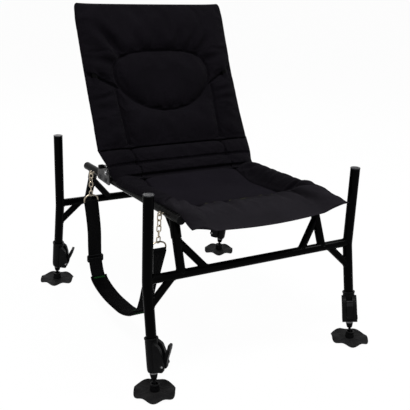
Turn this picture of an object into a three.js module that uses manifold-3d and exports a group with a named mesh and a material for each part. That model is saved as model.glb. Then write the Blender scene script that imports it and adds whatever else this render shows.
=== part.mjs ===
// A carp fishing chair: a welded tube base on four telescopic legs, a slung padded seat,
// a backrest that folds forward over it, and a carrying strap on two chains.
// Millimetres, +Z up. The origin is on the ground under the middle of the base,
// the chair looks along -Y and the sitter's left hand is at +X.
import * as THREE from "three";
import { mergeVertices } from "three/addons/utils/BufferGeometryUtils.js";
import Module from "manifold-3d";

const wasm = await Module();
wasm.setup();

// Driving dimensions
const running = 0.3; // gap between two pieces that touch
const overrun = 5; // how far a cutting tool runs past the face that it cuts
const weld = 0.001; // vertices nearer than this are one
const roundSides = 14; // facets round a frame tube
const smallSides = 10; // facets round a bolt or a thin tube
const grooveSides = 4; // facets round a sewn groove

const base = {
  halfWidth: 292, // from the middle plane to a leg's axis
  halfDepth: 302, // from the middle to the crossbars' axis
  crossbarHeight: 264,
  legTop: 465, // upper end of the outer leg tubes
  bendHeight: 258, // where the legs turn outwards
  bendRadius: 90,
  kick: 10.85, // degrees that the lower legs lean outwards
};

const tube = {
  leg: 25,
  legBore: 20.6,
  crossbar: 22,
  crossbarBore: 18,
  gusset: 19,
  strut: 22,
  brace: 19,
  stay: 12,
  rail: 22,
};

const gusset = { barInset: 66, legDrop: 58 };

const strut = {
  footX: 205, // its foot on the crossbar, from the middle
  lean: 23.3, // degrees towards the middle of the chair
  sideLean: 1.53, // degrees towards the middle plane
  topInset: 50, // where its axis meets the rail's, from the crossbar
  topDrop: 7, // where it ends, below the rail's axis
  braceFootX: 137,
  braceHeight: 337,
  stayHeight: 335,
  stayReach: 54, // from its foot on the strut along the rail
};

const rail = {
  halfSpacing: 206,
  rearY: 300,
  frontY: -297,
  rearHeight: 370,
  frontHeight: 394,
};

const cap = { thickness: 3, plugLength: 14, plugGap: 0.6, rim: 25.6 };

const slider = { tubeEnd: 200, innerTop: 14, wall: 0.3 };

const collar = {
  top: 132, // heights above the ground, measured along the vertical
  bottom: 50.5,
  bodyDiameter: 31,
  flangeDiameter: 33.5,
  flangeThickness: 4,
  cheekSpan: 39, // over both cheeks
  slotWidth: 15.6,
  cheekReach: 32, // from the leg's axis
  cheekTop: 125,
  cheekBottom: 55,
  cheekTaper: 18, // how far the cheeks' upper edge slopes
  cheekDraw: 5,
  cheekFootDraw: 3,
  chamferIn: 2, // chamfer at the lower end
  chamferUp: 4,
};

const lever = {
  pinOffset: 28, // from the leg's axis
  pinHeight: 69,
  pinDiameter: 5,
  camRadius: 7.5,
  tipReach: 45.5,
  tipHeight: 117,
  thickness: 6.5,
};

const foot = {
  ballHeight: 14,
  ballDiameter: 14,
  ballGap: 0.6, // all round the ball, so that it swivels
  neckDiameter: 7,
  plugTop: 47,
  plugLow: 33,
  plugLowDiameter: 13,
  socketDiameter: 23,
  socketTop: 23,
  socketBase: 5,
  socketChamferIn: 1,
  socketChamferUp: 2,
  mouthDiameter: 21,
  throatDiameter: 12.6,
  spigotDiameter: 10,
  headDiameter: 15,
  headTop: 2.2,
  headBottom: 0.7,
  discDiameter: 103,
  discRim: 2.2,
  discHub: 4.7,
  hubDiameter: 30,
  seatDiameter: 44, // the flat ring that always bears on the ground
  petals: 6,
  petalRise: 6.5,
  petalNotch: 3.2,
};

const hinge = {
  y: 110, // the backrest's pivot
  rise: 22, // the pivot, over the rail's axis
  lean: 26.1, // degrees from upright
  boltDiameter: 8,
  boltHeadDiameter: 14,
  boltHeadThickness: 4.5,
  plateThickness: 4,
  stopRise: 21.5, // the stop pin, along and behind the back tube
  stopDiameter: 8,
  stopHeadDiameter: 12,
  stopHeadReach: 15,
  fixingDiameter: 6.2,
  fixingHeadDiameter: 11,
  fixingHeadThickness: 3,
  frontFixingY: 120,
  rearFixingY: 162,
  plateFront: 16, // the plate's ends, from the pivot and from the rear fixing
  plateRear: 18,
  plateRearRise: 6,
};

// The hinge plate's upper corners, as y and z from the pivot.
const plateCorners = [[53, 18], [16, 24], [-12, 13]];

const back = {
  tubeDiameter: 19,
  halfSpacing: 207,
  tubeTop: 449, // along the lean, from the pivot
  cornerRadius: 70,
  padBottom: 63,
  padTop: 473.7,
  halfWidth: 232,
  front: 20, // crown in front of and behind the pad's middle surface
  rear: 23,
  forwardSet: 4,
  bow: 5,
  topSag: 6,
  cornerDraw: 30,
  bottomDraw: 3,
};

const ovalPanel = {
  halfWidth: 150,
  top: 337,
  widest: 275,
  bottom: 162,
  start: 0.02, // its line's start and length in turns, so that the ends lap
  turns: 1.03,
};

// The back pad's side seam, as x and height along the lean.
const sideSeam = [
  [145, 58],
  [146, 63],
  [147, 88],
  [150, 145],
  [152, 230],
  [188, 257],
  [208, 267],
  [221, 273],
  [228, 276],
  [232, 278],
  [240, 282],
];

const seam = { width: 5 };

// Shares along the seat's sewn lines, closer together where the pad curves most.
const seamStops = {
  panelSide: [0, 0.017, 0.069, 0.154, 0.326, 0.565, 0.805, 1],
  corner: [0.3, 0.5, 0.7, 0.85, 0.94, 0.99, 1.04],
};

const seat = {
  rearY: 45.5,
  cornerY: -351,
  frontBulge: 17,
  halfWidth: 226,
  rearDraw: 9,
  edgeRise: 7, // heights over the rails' axis
  crownRise: 27,
  crownRearDrop: 6,
  panelRise: -5,
  panelRearRise: 17,
  panelRearThin: 10,
  panelUnder: -40,
  dishY: -60, // where the panel starts to rise to its rear edge
  lip: 60, // how long the thin front lip is
  panelHalfWidth: 150,
  crownX: 192,
  frontPanelY: -182,
  panelFrontSpread: 4,
  panelRearDraw: 8,
  seamOverrun: 4,
  cornerSeamFall: 30, // how far the corner seams run forward to the pad's edge
  frontCrown: 13,
  frontDrop: 9,
  frontThin: 14,
};

const lumbar = {
  frontGap: 1, // its front edge, behind the seat pad's
  frontRise: 20, // and over the rails' axis
  rearSet: 2.4, // its rear edge, before the back pad's middle
  rearDrop: 3.4, // and below the back pad's lower edge
  midShare: 0.446,
  midSag: 10,
  frontHalfWidth: 214,
  midHalfWidth: 217,
  rearHalfWidth: 229,
  pinch: 4,
  swell: 11,
};

const strap = {
  x: -228,
  width: 40,
  thickness: 2.4,
  padWidth: 50,
  padThickness: 12,
  padPinch: 5,
  clearance: 0.4,
  sliderWidth: 48,
  sliderHeight: 22,
  sliderThickness: 8,
};

const chain = {
  links: 5,
  wire: 2.6,
  linkWidth: 11,
  eyeDiameter: 12,
  ringWire: 4,
  ringLength: 24,
  ringWidth: 44,
  ringRise: 12, // its upper bar, over the strap's end
  rearSet: 8, // its place behind the strap's rear end
  frontSet: -3,
  rearY: 212, // where the chains hang from the rail
  frontY: -229,
};

// Where the carrying strap runs, seen from the side, as y and z.
const strapRearPart = [[207, 293], [196, 236], [189.5, 200], [189, 160]];
const sliderPlace = [187, 122];
const strapLowPart = [[172, 86]];
const padRoute = [
  [151, 67], [115, 57], [60, 51.5], [0, 53.5], [-50, 59], [-100, 76], [-140, 103],
];
const strapFrontPart = [[-161, 139], [-180, 190], [-205, 256], [-222, 306]];
const strapRoute = [
  ...strapRearPart,
  sliderPlace,
  ...strapLowPart,
  ...padRoute,
  ...strapFrontPart,
];

// Places worked out from the sizes above
const kick = THREE.MathUtils.degToRad(base.kick);
const lean = THREE.MathUtils.degToRad(hinge.lean);
const strutLean = THREE.MathUtils.degToRad(strut.lean);
const strutSideLean = THREE.MathUtils.degToRad(strut.sideLean);
const railSlope = (rail.frontHeight - rail.rearHeight) / (rail.rearY - rail.frontY);
const railRadius = tube.rail / 2;
const plateInside = rail.halfSpacing + railRadius + running;
const plateOutside = plateInside + hinge.plateThickness;

const vec = (x, y, z) => new THREE.Vector3(x, y, z);
const up = vec(0, 0, 1);
const railHeight = (y) => rail.rearHeight + (rail.rearY - y) * railSlope;
const mix = THREE.MathUtils.lerp;
const smooth = (value, low, high) => THREE.MathUtils.smoothstep(value, low, high);
const hingeHeight = railHeight(hinge.y) + hinge.rise;

// Distance down the lower leg, from its bend, at which its axis is at a height.
const downLeg = (height) => (base.bendHeight - height) / Math.cos(kick);

// Finishes
const finish = (color, roughness, metalness) =>
  new THREE.MeshStandardMaterial({ color, roughness, metalness });
const blackPaint = finish(0x17171a, 0.32, 0.3);
const greySteel = finish(0x63646a, 0.45, 0.7);
const zincSteel = finish(0xa9aaae, 0.35, 0.9);
const blackPlastic = finish(0x1b1b1d, 0.55, 0);
const greyPlastic = finish(0x9b9ca1, 0.5, 0);
const footRubber = finish(0x2e2e31, 0.8, 0);
const padFabric = finish(0x1b1a1e, 0.9, 0);
const webbing = finish(0x141416, 0.85, 0);
const chainSteel = finish(0xb6a98e, 0.3, 0.95);

// Solid modelling helpers

// A closed geometry as a solid that can be cut and joined.
function solid(geometry) {
  const bare = geometry.clone();
  bare.deleteAttribute("normal");
  bare.deleteAttribute("uv");
  const merged = mergeVertices(bare, weld);
  return new wasm.Manifold(
    new wasm.Mesh({
      numProp: 3,
      vertProperties: merged.attributes.position.array,
      triVerts: new Uint32Array(merged.index.array),
    }),
  );
}

// A cut or joined solid as a geometry.
function geometryOf(made) {
  const mesh = made.getMesh();
  const geometry = new THREE.BufferGeometry();
  geometry.setAttribute("position", new THREE.BufferAttribute(mesh.vertProperties, 3));
  geometry.setIndex(new THREE.BufferAttribute(mesh.triVerts, 1));
  geometry.computeVertexNormals();
  return geometry;
}

const join = (...parts) => parts.reduce((whole, part) => whole.add(part));
const cut = (body, ...tools) => tools.reduce((rest, tool) => rest.subtract(tool), body);

// The radius of a faceted hole that clears a round piece all the way round.
const holeRadius = (radius, sides = smallSides) => (radius + running) / Math.cos(Math.PI / sides);

// A round bar between two points, tapered if it has an end radius.
function bar(from, to, radius, sides = roundSides, endRadius = radius) {
  const along = to.clone().sub(from);
  const geometry = new THREE.CylinderGeometry(endRadius, radius, along.length(), sides);
  const turn = new THREE.Quaternion().setFromUnitVectors(
    vec(0, 1, 0),
    along.clone().normalize(),
  );
  geometry.applyQuaternion(turn);
  const middle = from.clone().add(to).divideScalar(2);
  return solid(geometry.translate(middle.x, middle.y, middle.z));
}

// A path through chosen points, with one step of an extrusion at each of them.
class Route extends THREE.Curve {
  constructor(points) {
    super();
    this.points = points;
  }

  getPoint(share) {
    const place = share * (this.points.length - 1);
    const index = Math.min(Math.floor(place + weld), this.points.length - 2);
    return this.points[index].clone().lerp(this.points[index + 1], place - index);
  }

  getPointAt(share) {
    return this.getPoint(share);
  }

  getTangentAt(share) {
    const index = Math.round(share * (this.points.length - 1));
    const before = this.points[Math.max(index - 1, 0)];
    const after = this.points[Math.min(index + 1, this.points.length - 1)];
    return after.clone().sub(before).normalize();
  }
}

// A round tube along a route of points.
function pipe(points, radius, sides = roundSides) {
  const section = new THREE.Shape();
  section.absarc(0, 0, radius, 0, 2 * Math.PI);
  return solid(
    new THREE.ExtrudeGeometry(section, {
      steps: points.length - 1,
      curveSegments: sides,
      bevelEnabled: false,
      extrudePath: new Route(points),
    }),
  );
}

// A body turned about the Z axis, from an outline of radius and height pairs.
function turned(outline, sides = roundSides) {
  const points = outline.map(([radius, height]) => new THREE.Vector2(radius, height));
  const geometry = new THREE.LatheGeometry(points, sides);
  return solid(geometry.rotateX(Math.PI / 2));
}

// A body drawn up from the origin, moved to a point and turned towards another.
function stood(made, from, to) {
  const turn = new THREE.Quaternion().setFromUnitVectors(
    up,
    to.clone().sub(from).normalize(),
  );
  const place = new THREE.Matrix4().compose(from, turn, vec(1, 1, 1));
  return made.transform(place.elements);
}

// A plate from an outline of y and z pairs, thick along X between two planes.
function sidePlate(outline, fromX, toX) {
  const shape = new THREE.Shape(outline.map(([y, z]) => new THREE.Vector2(y, z)));
  const geometry = new THREE.ExtrudeGeometry(shape, {
    depth: toX - fromX,
    bevelEnabled: false,
  });
  const turn = new THREE.Matrix4().makeBasis(vec(0, 1, 0), vec(0, 0, 1), vec(1, 0, 0));
  return solid(geometry.applyMatrix4(turn).translate(fromX, 0, 0));
}

// A closed skin over rings of points, each ring listed the same way round.
function skin(rings) {
  const count = rings[0].length;
  const positions = rings.flat().flatMap((point) => point.toArray());
  const faces = [];
  const quad = (a, b, c, d) => faces.push(a, b, c, a, c, d);
  for (let ring = 0; ring + 1 < rings.length; ring += 1) {
    for (let side = 0; side < count; side += 1) {
      const next = (side + 1) % count;
      const low = ring * count;
      const high = low + count;
      quad(low + side, low + next, high + next, high + side);
    }
  }
  const half = count / 2;
  for (let side = 0; side < half; side += 1) {
    const [a, b] = [side, side + 1];
    const [c, d] = [(count - b) % count, (count - a) % count];
    const last = (rings.length - 1) * count;
    quad(a, d, c, b);
    quad(last + a, last + b, last + c, last + d);
  }
  const geometry = new THREE.BufferGeometry();
  geometry.setAttribute("position", new THREE.Float32BufferAttribute(positions, 3));
  geometry.setIndex(faces);
  return solid(geometry);
}

// One ring of a padded form: out along one face and back along the other.
function padRing(stops, faceOne, faceTwo) {
  const there = stops.map(faceOne);
  const backAgain = stops.slice(1, -1).reverse().map(faceTwo);
  return [...there, ...backAgain];
}

// A plump cross-section: 1 in the middle, falling to nothing at -1 and 1.
const plump = (share, fullness) => Math.sqrt(Math.max(0, 1 - Math.abs(share) ** fullness));

// Stops across a pad from one edge to the other, closer together near the edges.
const acrossStops = (count) =>
  Array.from({ length: count + 1 }, (_, i) => Math.sin(((2 * i) / count - 1) * Math.PI / 2));

// Stops from 0 to 1.
const evenStops = (count) => Array.from({ length: count + 1 }, (_, i) => i / count);

// A groove sewn along a line that lies on a surface, run on a little past both its ends.
function groove(points) {
  const past = (end, before) => end.clone().add(end.clone().sub(before).setLength(seam.width / 2));
  const line = [past(points[0], points[1]), ...points, past(points.at(-1), points.at(-2))];
  return pipe(line, seam.width / 2, grooveSides);
}

function addMesh(group, name, made, material) {
  const mesh = new THREE.Mesh(geometryOf(made), material);
  mesh.name = name;
  group.add(mesh);
  return mesh;
}

// Base frame

// The bent axis of a leg, in a corner whose outward sides are +X and +Y.
function legRoute(top, downTo) {
  const bendLength = base.bendRadius * Math.tan(kick / 2);
  const centre = vec(base.halfWidth, base.halfDepth + base.bendRadius, base.bendHeight + bendLength);
  const points = [vec(base.halfWidth, base.halfDepth, top)];
  for (const share of evenStops(2)) {
    const angle = kick * share;
    points.push(
      vec(
        base.halfWidth,
        centre.y - base.bendRadius * Math.cos(angle),
        centre.z - base.bendRadius * Math.sin(angle),
      ),
    );
  }
  points.push(lowerLegPoint(downTo));
  return points;
}

function lowerLegPoint(distance) {
  return vec(
    base.halfWidth,
    base.halfDepth + distance * Math.sin(kick),
    base.bendHeight - distance * Math.cos(kick),
  );
}

function legTube() {
  const outer = pipe(legRoute(base.legTop, slider.tubeEnd), tube.leg / 2);
  const bore = pipe(
    legRoute(base.legTop + overrun, slider.tubeEnd + overrun),
    tube.legBore / 2,
    smallSides,
  );
  return cut(outer, bore);
}

function legCap() {
  const top = base.legTop + running;
  const plug = tube.legBore / 2 - cap.plugGap;
  const outline = [
    [0, top - cap.plugLength],
    [plug, top - cap.plugLength],
    [plug, top],
    [cap.rim / 2, top],
    [cap.rim / 2, top + cap.thickness],
    [0, top + cap.thickness],
  ];
  return turned(outline).translate([base.halfWidth, base.halfDepth, 0]);
}

// The leg's outside with a working gap, which coped tubes are cut by.
function legClearance(side) {
  const route = legRoute(base.legTop, slider.tubeEnd);
  const mirrored = route.map((point) => vec(side * point.x, point.y, point.z));
  return pipe(mirrored, holeRadius(tube.leg / 2, roundSides));
}

// The largest piece of a cut solid.
const largest = (made) =>
  made.decompose().reduce((most, piece) => (piece.volume() > most.volume() ? piece : most));

function crossbar() {
  const ends = [-1, 1].map((side) =>
    vec(side * base.halfWidth, base.halfDepth, base.crossbarHeight),
  );
  const body = cut(
    bar(ends[0], ends[1], tube.crossbar / 2),
    bar(ends[0], ends[1], tube.crossbarBore / 2, smallSides),
  );
  return largest(cut(body, legClearance(-1), legClearance(1)));
}

// The crossbar's outside with a working gap.
function crossbarClearance(y) {
  const end = base.halfWidth + tube.leg;
  return bar(
    vec(-end, y, base.crossbarHeight),
    vec(end, y, base.crossbarHeight),
    holeRadius(tube.crossbar / 2, roundSides),
  );
}

function cornerGusset() {
  const barEnd = vec(base.halfWidth - gusset.barInset, base.halfDepth, base.crossbarHeight);
  const legEnd = lowerLegPoint(gusset.legDrop);
  const body = bar(barEnd, legEnd, tube.gusset / 2, smallSides);
  return largest(cut(body, crossbarClearance(base.halfDepth), legClearance(1)));
}

// A point on the strut's leaning axis at a height.
function strutPoint(height) {
  const rise = height - base.crossbarHeight;
  const x = strut.footX - rise * Math.tan(strutSideLean);
  return vec(x, base.halfDepth - rise * Math.tan(strutLean), height);
}

// Strut, side brace and corner stay, welded into one piece.
function truss(frontToRear) {
  const railAt = (y) => railHeight(frontToRear * y);
  const top = strutPoint(railAt(base.halfDepth - strut.topInset) - strut.topDrop);
  const post = bar(strutPoint(base.crossbarHeight), top, tube.strut / 2);
  const braceFoot = vec(strut.braceFootX, base.halfDepth, base.crossbarHeight);
  const brace = bar(braceFoot, strutPoint(strut.braceHeight), tube.brace / 2, smallSides);
  const stayFoot = strutPoint(strut.stayHeight);
  const stayEndY = stayFoot.y - strut.stayReach;
  const stayEnd = vec(rail.halfSpacing, stayEndY, railAt(stayEndY));
  const stay = bar(stayFoot, stayEnd, tube.stay / 2, smallSides);
  const whole = join(post, brace, stay);
  const railTool = bar(
    vec(rail.halfSpacing, base.halfDepth + tube.leg, railAt(base.halfDepth + tube.leg)),
    vec(rail.halfSpacing, 0, railAt(0)),
    holeRadius(railRadius, roundSides),
  );
  return largest(cut(whole, railTool, crossbarClearance(base.halfDepth)));
}

function sideRail() {
  const at = (y) => vec(rail.halfSpacing, y, railHeight(y));
  const chamfer = railRadius / 4;
  const length = at(rail.rearY).distanceTo(at(rail.frontY));
  const outline = [
    [0, 0],
    [railRadius - chamfer, 0],
    [railRadius, chamfer],
    [railRadius, length - chamfer],
    [railRadius - chamfer, length],
    [0, length],
  ];
  const fixingHoles = [hinge.frontFixingY, hinge.rearFixingY].map((y) => {
    const centre = at(y);
    const radius = holeRadius(hinge.fixingDiameter / 2);
    return bar(centre, vec(centre.x + tube.rail, centre.y, centre.z), radius, smallSides);
  });
  return cut(stood(turned(outline), at(rail.rearY), at(rail.frontY)), ...fixingHoles);
}

// Hinge plates, bolts and stops, drawn for the +X side

function hingePlate() {
  const railTop = (y) => railHeight(y) + railRadius;
  const under = railHeight(hinge.y) - railRadius;
  const outline = [
    [hinge.y - hinge.plateFront, under],
    [hinge.rearFixingY + hinge.plateRear, under],
    [hinge.rearFixingY + hinge.plateRear, railTop(hinge.rearFixingY) + hinge.plateRearRise],
    ...plateCorners.map(([y, z]) => [hinge.y + y, hingeHeight + z]),
  ];
  const plate = sidePlate(outline, plateInside, plateOutside);
  const holes = [
    [hinge.y, hingeHeight, hinge.boltDiameter],
    [...stopPlace(), hinge.stopDiameter],
  ].map(([y, z, size]) =>
    bar(
      vec(plateInside - overrun, y, z),
      vec(plateOutside + overrun, y, z),
      holeRadius(size / 2),
      smallSides,
    ),
  );
  const fixings = [hinge.frontFixingY, hinge.rearFixingY].flatMap((y) => {
    const z = railHeight(y);
    const shankEnd = rail.halfSpacing + railRadius / 2;
    const headEnd = plateOutside + hinge.fixingHeadThickness;
    return [
      bar(vec(shankEnd, y, z), vec(plateOutside, y, z), hinge.fixingDiameter / 2, smallSides),
      bar(vec(plateOutside, y, z), vec(headEnd, y, z), hinge.fixingHeadDiameter / 2, smallSides),
    ];
  });
  return join(cut(plate, ...holes), ...fixings);
}

// The stop pin stands behind the back tube, where the tube rests on it.
function stopPlace() {
  const behind = back.tubeDiameter / 2 + hinge.stopDiameter / 2 + running;
  return [
    hinge.y + hinge.stopRise * Math.sin(lean) + behind * Math.cos(lean),
    hingeHeight + hinge.stopRise * Math.cos(lean) - behind * Math.sin(lean),
  ];
}

function pivotBolt() {
  const tubeInside = back.halfSpacing - back.tubeDiameter / 2;
  const at = (x) => vec(x, hinge.y, hingeHeight);
  const headStart = plateOutside + running;
  const nutEnd = tubeInside - running;
  const headRadius = hinge.boltHeadDiameter / 2;
  return join(
    bar(at(nutEnd), at(headStart), hinge.boltDiameter / 2, smallSides),
    bar(at(headStart), at(headStart + hinge.boltHeadThickness), headRadius, smallSides),
    bar(at(nutEnd - hinge.boltHeadThickness), at(nutEnd), headRadius, 6),
  );
}

function stopPin() {
  const [y, z] = stopPlace();
  const at = (x) => vec(x, y, z);
  const inner = back.halfSpacing - back.tubeDiameter / 2;
  const headStart = plateOutside + running;
  return join(
    bar(at(inner), at(headStart), hinge.stopDiameter / 2, smallSides),
    bar(at(headStart), at(headStart + hinge.stopHeadReach), hinge.stopHeadDiameter / 2, smallSides),
  );
}

// Backrest, drawn in its own leaning frame with the pivot at the origin

function backTubeRoute(from) {
  const straightTop = back.tubeTop - back.cornerRadius;
  const side = evenStops(5).map((share) => {
    const angle = share * Math.PI / 2;
    return vec(
      back.halfSpacing - back.cornerRadius * (1 - Math.cos(angle)),
      0,
      straightTop + back.cornerRadius * Math.sin(angle),
    );
  });
  const right = [vec(back.halfSpacing, 0, from), ...side];
  const left = right.map((point) => vec(-point.x, point.y, point.z)).reverse();
  return [...right, ...left];
}

function backFrame() {
  const radius = back.tubeDiameter / 2;
  const across = (x, reach, size) =>
    bar(vec(x - reach, 0, 0), vec(x + reach, 0, 0), size, smallSides);
  const ends = [-back.halfSpacing, back.halfSpacing];
  const eyes = ends.map((x) => across(x, radius - running, radius));
  const holes = ends.map((x) => across(x, back.tubeDiameter, holeRadius(hinge.boltDiameter / 2)));
  return cut(join(pipe(backTubeRoute(0), radius, smallSides), ...eyes), ...holes);
}

function padMiddle(height) {
  const share = (height - back.padBottom) / (back.padTop - back.padBottom);
  return -back.forwardSet + back.bow * Math.sin(Math.PI * share);
}

// How full the back pad is across (-1 to 1) and up (0 to 1).
function padFullness(across, rise) {
  const endShare = Math.max(2 * rise - 1, (1 - 2 * rise) * 0.93);
  return plump(across, 6) * Math.max(plump(endShare, 8), 0.05);
}

function padPoint(across, rise, face) {
  const corner = Math.max(0, (rise - 0.88) / 0.12);
  const draw = back.cornerDraw * (1 - plump(corner, 2)) + back.bottomDraw * (1 - smooth(rise, 0, 0.2));
  const x = across * (back.halfWidth - draw);
  const sag = back.topSag * (1 - across ** 2) * smooth(rise, 0.8, 1);
  const height = mix(back.padBottom, back.padTop, rise) - sag;
  const depth = (face < 0 ? -back.front : back.rear) * padFullness(across, rise);
  return vec(x, padMiddle(height) + depth, height);
}

// A point on the pad's front face, from its real x and height.
function padFront(x, height) {
  const rise = (height - back.padBottom) / (back.padTop - back.padBottom);
  return padPoint(x / back.halfWidth, rise, -1).setX(x).setZ(height);
}

// The rounded panel's outline: a flattened top and a deep round bottom.
function ovalLine(count) {
  return evenStops(count).map((share) => {
    const angle = (ovalPanel.start + share * ovalPanel.turns) * 2 * Math.PI;
    const upper = Math.sin(angle) > 0;
    const power = upper ? 0.55 : 0.8;
    const x = ovalPanel.halfWidth * Math.sign(Math.cos(angle)) * Math.abs(Math.cos(angle)) ** power;
    const reach = upper ? ovalPanel.top - ovalPanel.widest : ovalPanel.widest - ovalPanel.bottom;
    return padFront(x, ovalPanel.widest + reach * Math.sin(angle));
  });
}

function backPad() {
  const stops = acrossStops(12);
  const riseShares = [0, 0.06, 0.2, 0.38, 0.56, 0.72, 0.86, 0.92, 0.96, 0.985, 1];
  const rings = riseShares.map((rise) =>
    padRing(
      stops,
      (across) => padPoint(across, rise, -1),
      (across) => padPoint(across, rise, 1),
    ),
  );
  const sleeve = pipe(backTubeRoute(0), holeRadius(back.tubeDiameter / 2), smallSides);
  const sideGrooves = [-1, 1].map((side) =>
    groove(sideSeam.map(([x, height]) => padFront(side * x, height))),
  );
  return cut(skin(rings), sleeve, groove(ovalLine(16)), ...sideGrooves);
}

// Seat, drawn over the rails

function seatTop(x, y) {
  const side = Math.abs(x);
  const rear = smooth(y, seat.dishY, seat.rearY);
  const past = (seat.frontPanelY - y) / (seat.frontPanelY - seat.cornerY);
  const band = Math.max(0, Math.min(1, past));
  const dish = mix(seat.panelRise, seat.panelRearRise, rear);
  const panel = dish + seat.frontCrown * Math.sin(Math.PI * band);
  const crown = (seat.crownRise - seat.crownRearDrop * rear) * (1 - 0.4 * band ** 4);
  const fromCrown = (side - seat.crownX) / (seat.halfWidth - seat.crownX);
  const rise = fromCrown > 0
    ? mix(seat.edgeRise, crown, plump(Math.min(fromCrown, 1), 2))
    : mix(panel, crown, smooth(side, seat.panelHalfWidth, seat.crownX));
  return railHeight(y) + rise;
}

function seatUnder(x, y) {
  const side = Math.abs(x);
  const rear = smooth(y, seat.dishY, seat.rearY);
  const front = smooth(-y, -seat.cornerY - seat.lip, -seat.cornerY);
  const dish = mix(seat.panelUnder, seat.panelRearRise - seat.panelRearThin, rear);
  const under = mix(dish, -seat.frontThin, front);
  const fromCrown = (side - seat.crownX) / (seat.halfWidth - seat.crownX);
  const rise = fromCrown > 0
    ? mix(seat.edgeRise, 0, plump(Math.min(fromCrown, 1), 2))
    : mix(under, 0, smooth(side, seat.panelHalfWidth, seat.crownX));
  return railHeight(y) + rise;
}

function seatPoint(across, along, face) {
  const y = mix(seat.rearY, seat.cornerY, along);
  const x = across * (seat.halfWidth - seat.rearDraw * (1 - smooth(along, 0, 0.3)));
  const front = smooth(along, 0.75, 1);
  const bulge = seat.frontBulge * front * (1 - across ** 2);
  const drop = seat.frontDrop * front * (1 - across ** 4);
  const top = seatTop(x, y);
  const under = seatUnder(x, y);
  const middle = (top + under) / 2;
  const thin = mix(1, 0.3, smooth(along, 0.9, 1)) * mix(0.55, 1, smooth(along, 0, 0.08));
  const height = middle + (face * (top - under) / 2) * thin - drop;
  return vec(x, y - bulge, height);
}

// The seat's sewn lines: along the panel's sides, out to the front corners, and across.
function seatSeams(onTop) {
  const frontX = seat.panelHalfWidth + seat.panelFrontSpread;
  const rearX = seat.panelHalfWidth - seat.panelRearDraw;
  const rearY = seat.rearY + seat.seamOverrun;
  const lines = [-1, 1].map((side) => [
    ...seamStops.panelSide.map((share) =>
      onTop(side * mix(rearX, frontX, share), mix(rearY, seat.frontPanelY, share)),
    ),
    ...seamStops.corner.map((share) =>
      onTop(side * mix(frontX, seat.halfWidth, share), seat.frontPanelY - seat.cornerSeamFall * share),
    ),
  ]);
  const across = evenStops(6).map((share) => onTop(mix(-frontX, frontX, share), seat.frontPanelY));
  return [...lines, across];
}

function seatPad() {
  const stops = acrossStops(16);
  const alongShares = [0, 0.03, 0.08, 0.18, 0.32, 0.46, 0.58, 0.68, 0.78, 0.88, 0.94, 0.98, 1];
  const rings = alongShares.map((along) =>
    padRing(
      stops,
      (across) => seatPoint(across, along, -1),
      (across) => seatPoint(across, along, 1),
    ),
  );
  const railTools = [-1, 1].map((side) => {
    const at = (y) => vec(side * rail.halfSpacing, y, railHeight(y));
    return bar(at(rail.rearY), at(rail.frontY - overrun), holeRadius(railRadius, roundSides));
  });
  const onTop = (x, y) => {
    const along = (seat.rearY - y) / (seat.rearY - seat.cornerY);
    const point = seatPoint(x / seat.halfWidth, along, 1);
    return vec(x, point.y, point.z);
  };
  return largest(cut(skin(rings), ...railTools, ...seatSeams(onTop).map(groove)));
}

// The two gathered rolls between seat and back.
function lumbarRoll() {
  const frontY = seat.rearY + lumbar.frontGap;
  const front = new THREE.Vector2(frontY, railHeight(frontY) + lumbar.frontRise);
  const rearPoint = backPoint(
    vec(0, -back.forwardSet - lumbar.rearSet, back.padBottom - lumbar.rearDrop),
  );
  const rear = new THREE.Vector2(rearPoint.y, rearPoint.z);
  const middle = front.clone().lerp(rear, lumbar.midShare);
  middle.y -= lumbar.midSag;
  const path = new THREE.QuadraticBezierCurve(front, middle, rear);
  const stops = acrossStops(12);
  const rings = evenStops(8).map((share) => {
    const point = path.getPoint(share);
    const tangent = path.getTangent(share);
    const roll = Math.abs(Math.sin(2 * Math.PI * share));
    const half = lumbar.pinch + lumbar.swell * roll;
    const width = share < 0.5
      ? mix(lumbar.frontHalfWidth, lumbar.midHalfWidth, 2 * share)
      : mix(lumbar.midHalfWidth, lumbar.rearHalfWidth, 2 * share - 1);
    const place = (across, face) => {
      const lift = face * half * plump(across, 6);
      return vec(across * width, point.x - tangent.y * lift, point.y + tangent.x * lift);
    };
    return padRing(stops, (across) => place(across, 1), (across) => place(across, -1));
  });
  const tools = [-1, 1].map((side) => {
    const radius = holeRadius(back.tubeDiameter / 2);
    const end = backPoint(vec(side * back.halfSpacing, 0, 2 * back.padBottom));
    return bar(backPoint(vec(side * back.halfSpacing, 0, 0)), end, radius, smallSides);
  });
  return largest(cut(skin(rings), ...tools));
}

// A point of the leaning back frame, in the chair's own frame.
function backPoint(point) {
  return point.clone().applyAxisAngle(vec(1, 0, 0), -lean).add(vec(0, hinge.y, hingeHeight));
}

// Leg fittings, drawn in the lower leg's frame: the bend is the origin and -Z runs down the leg

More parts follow.
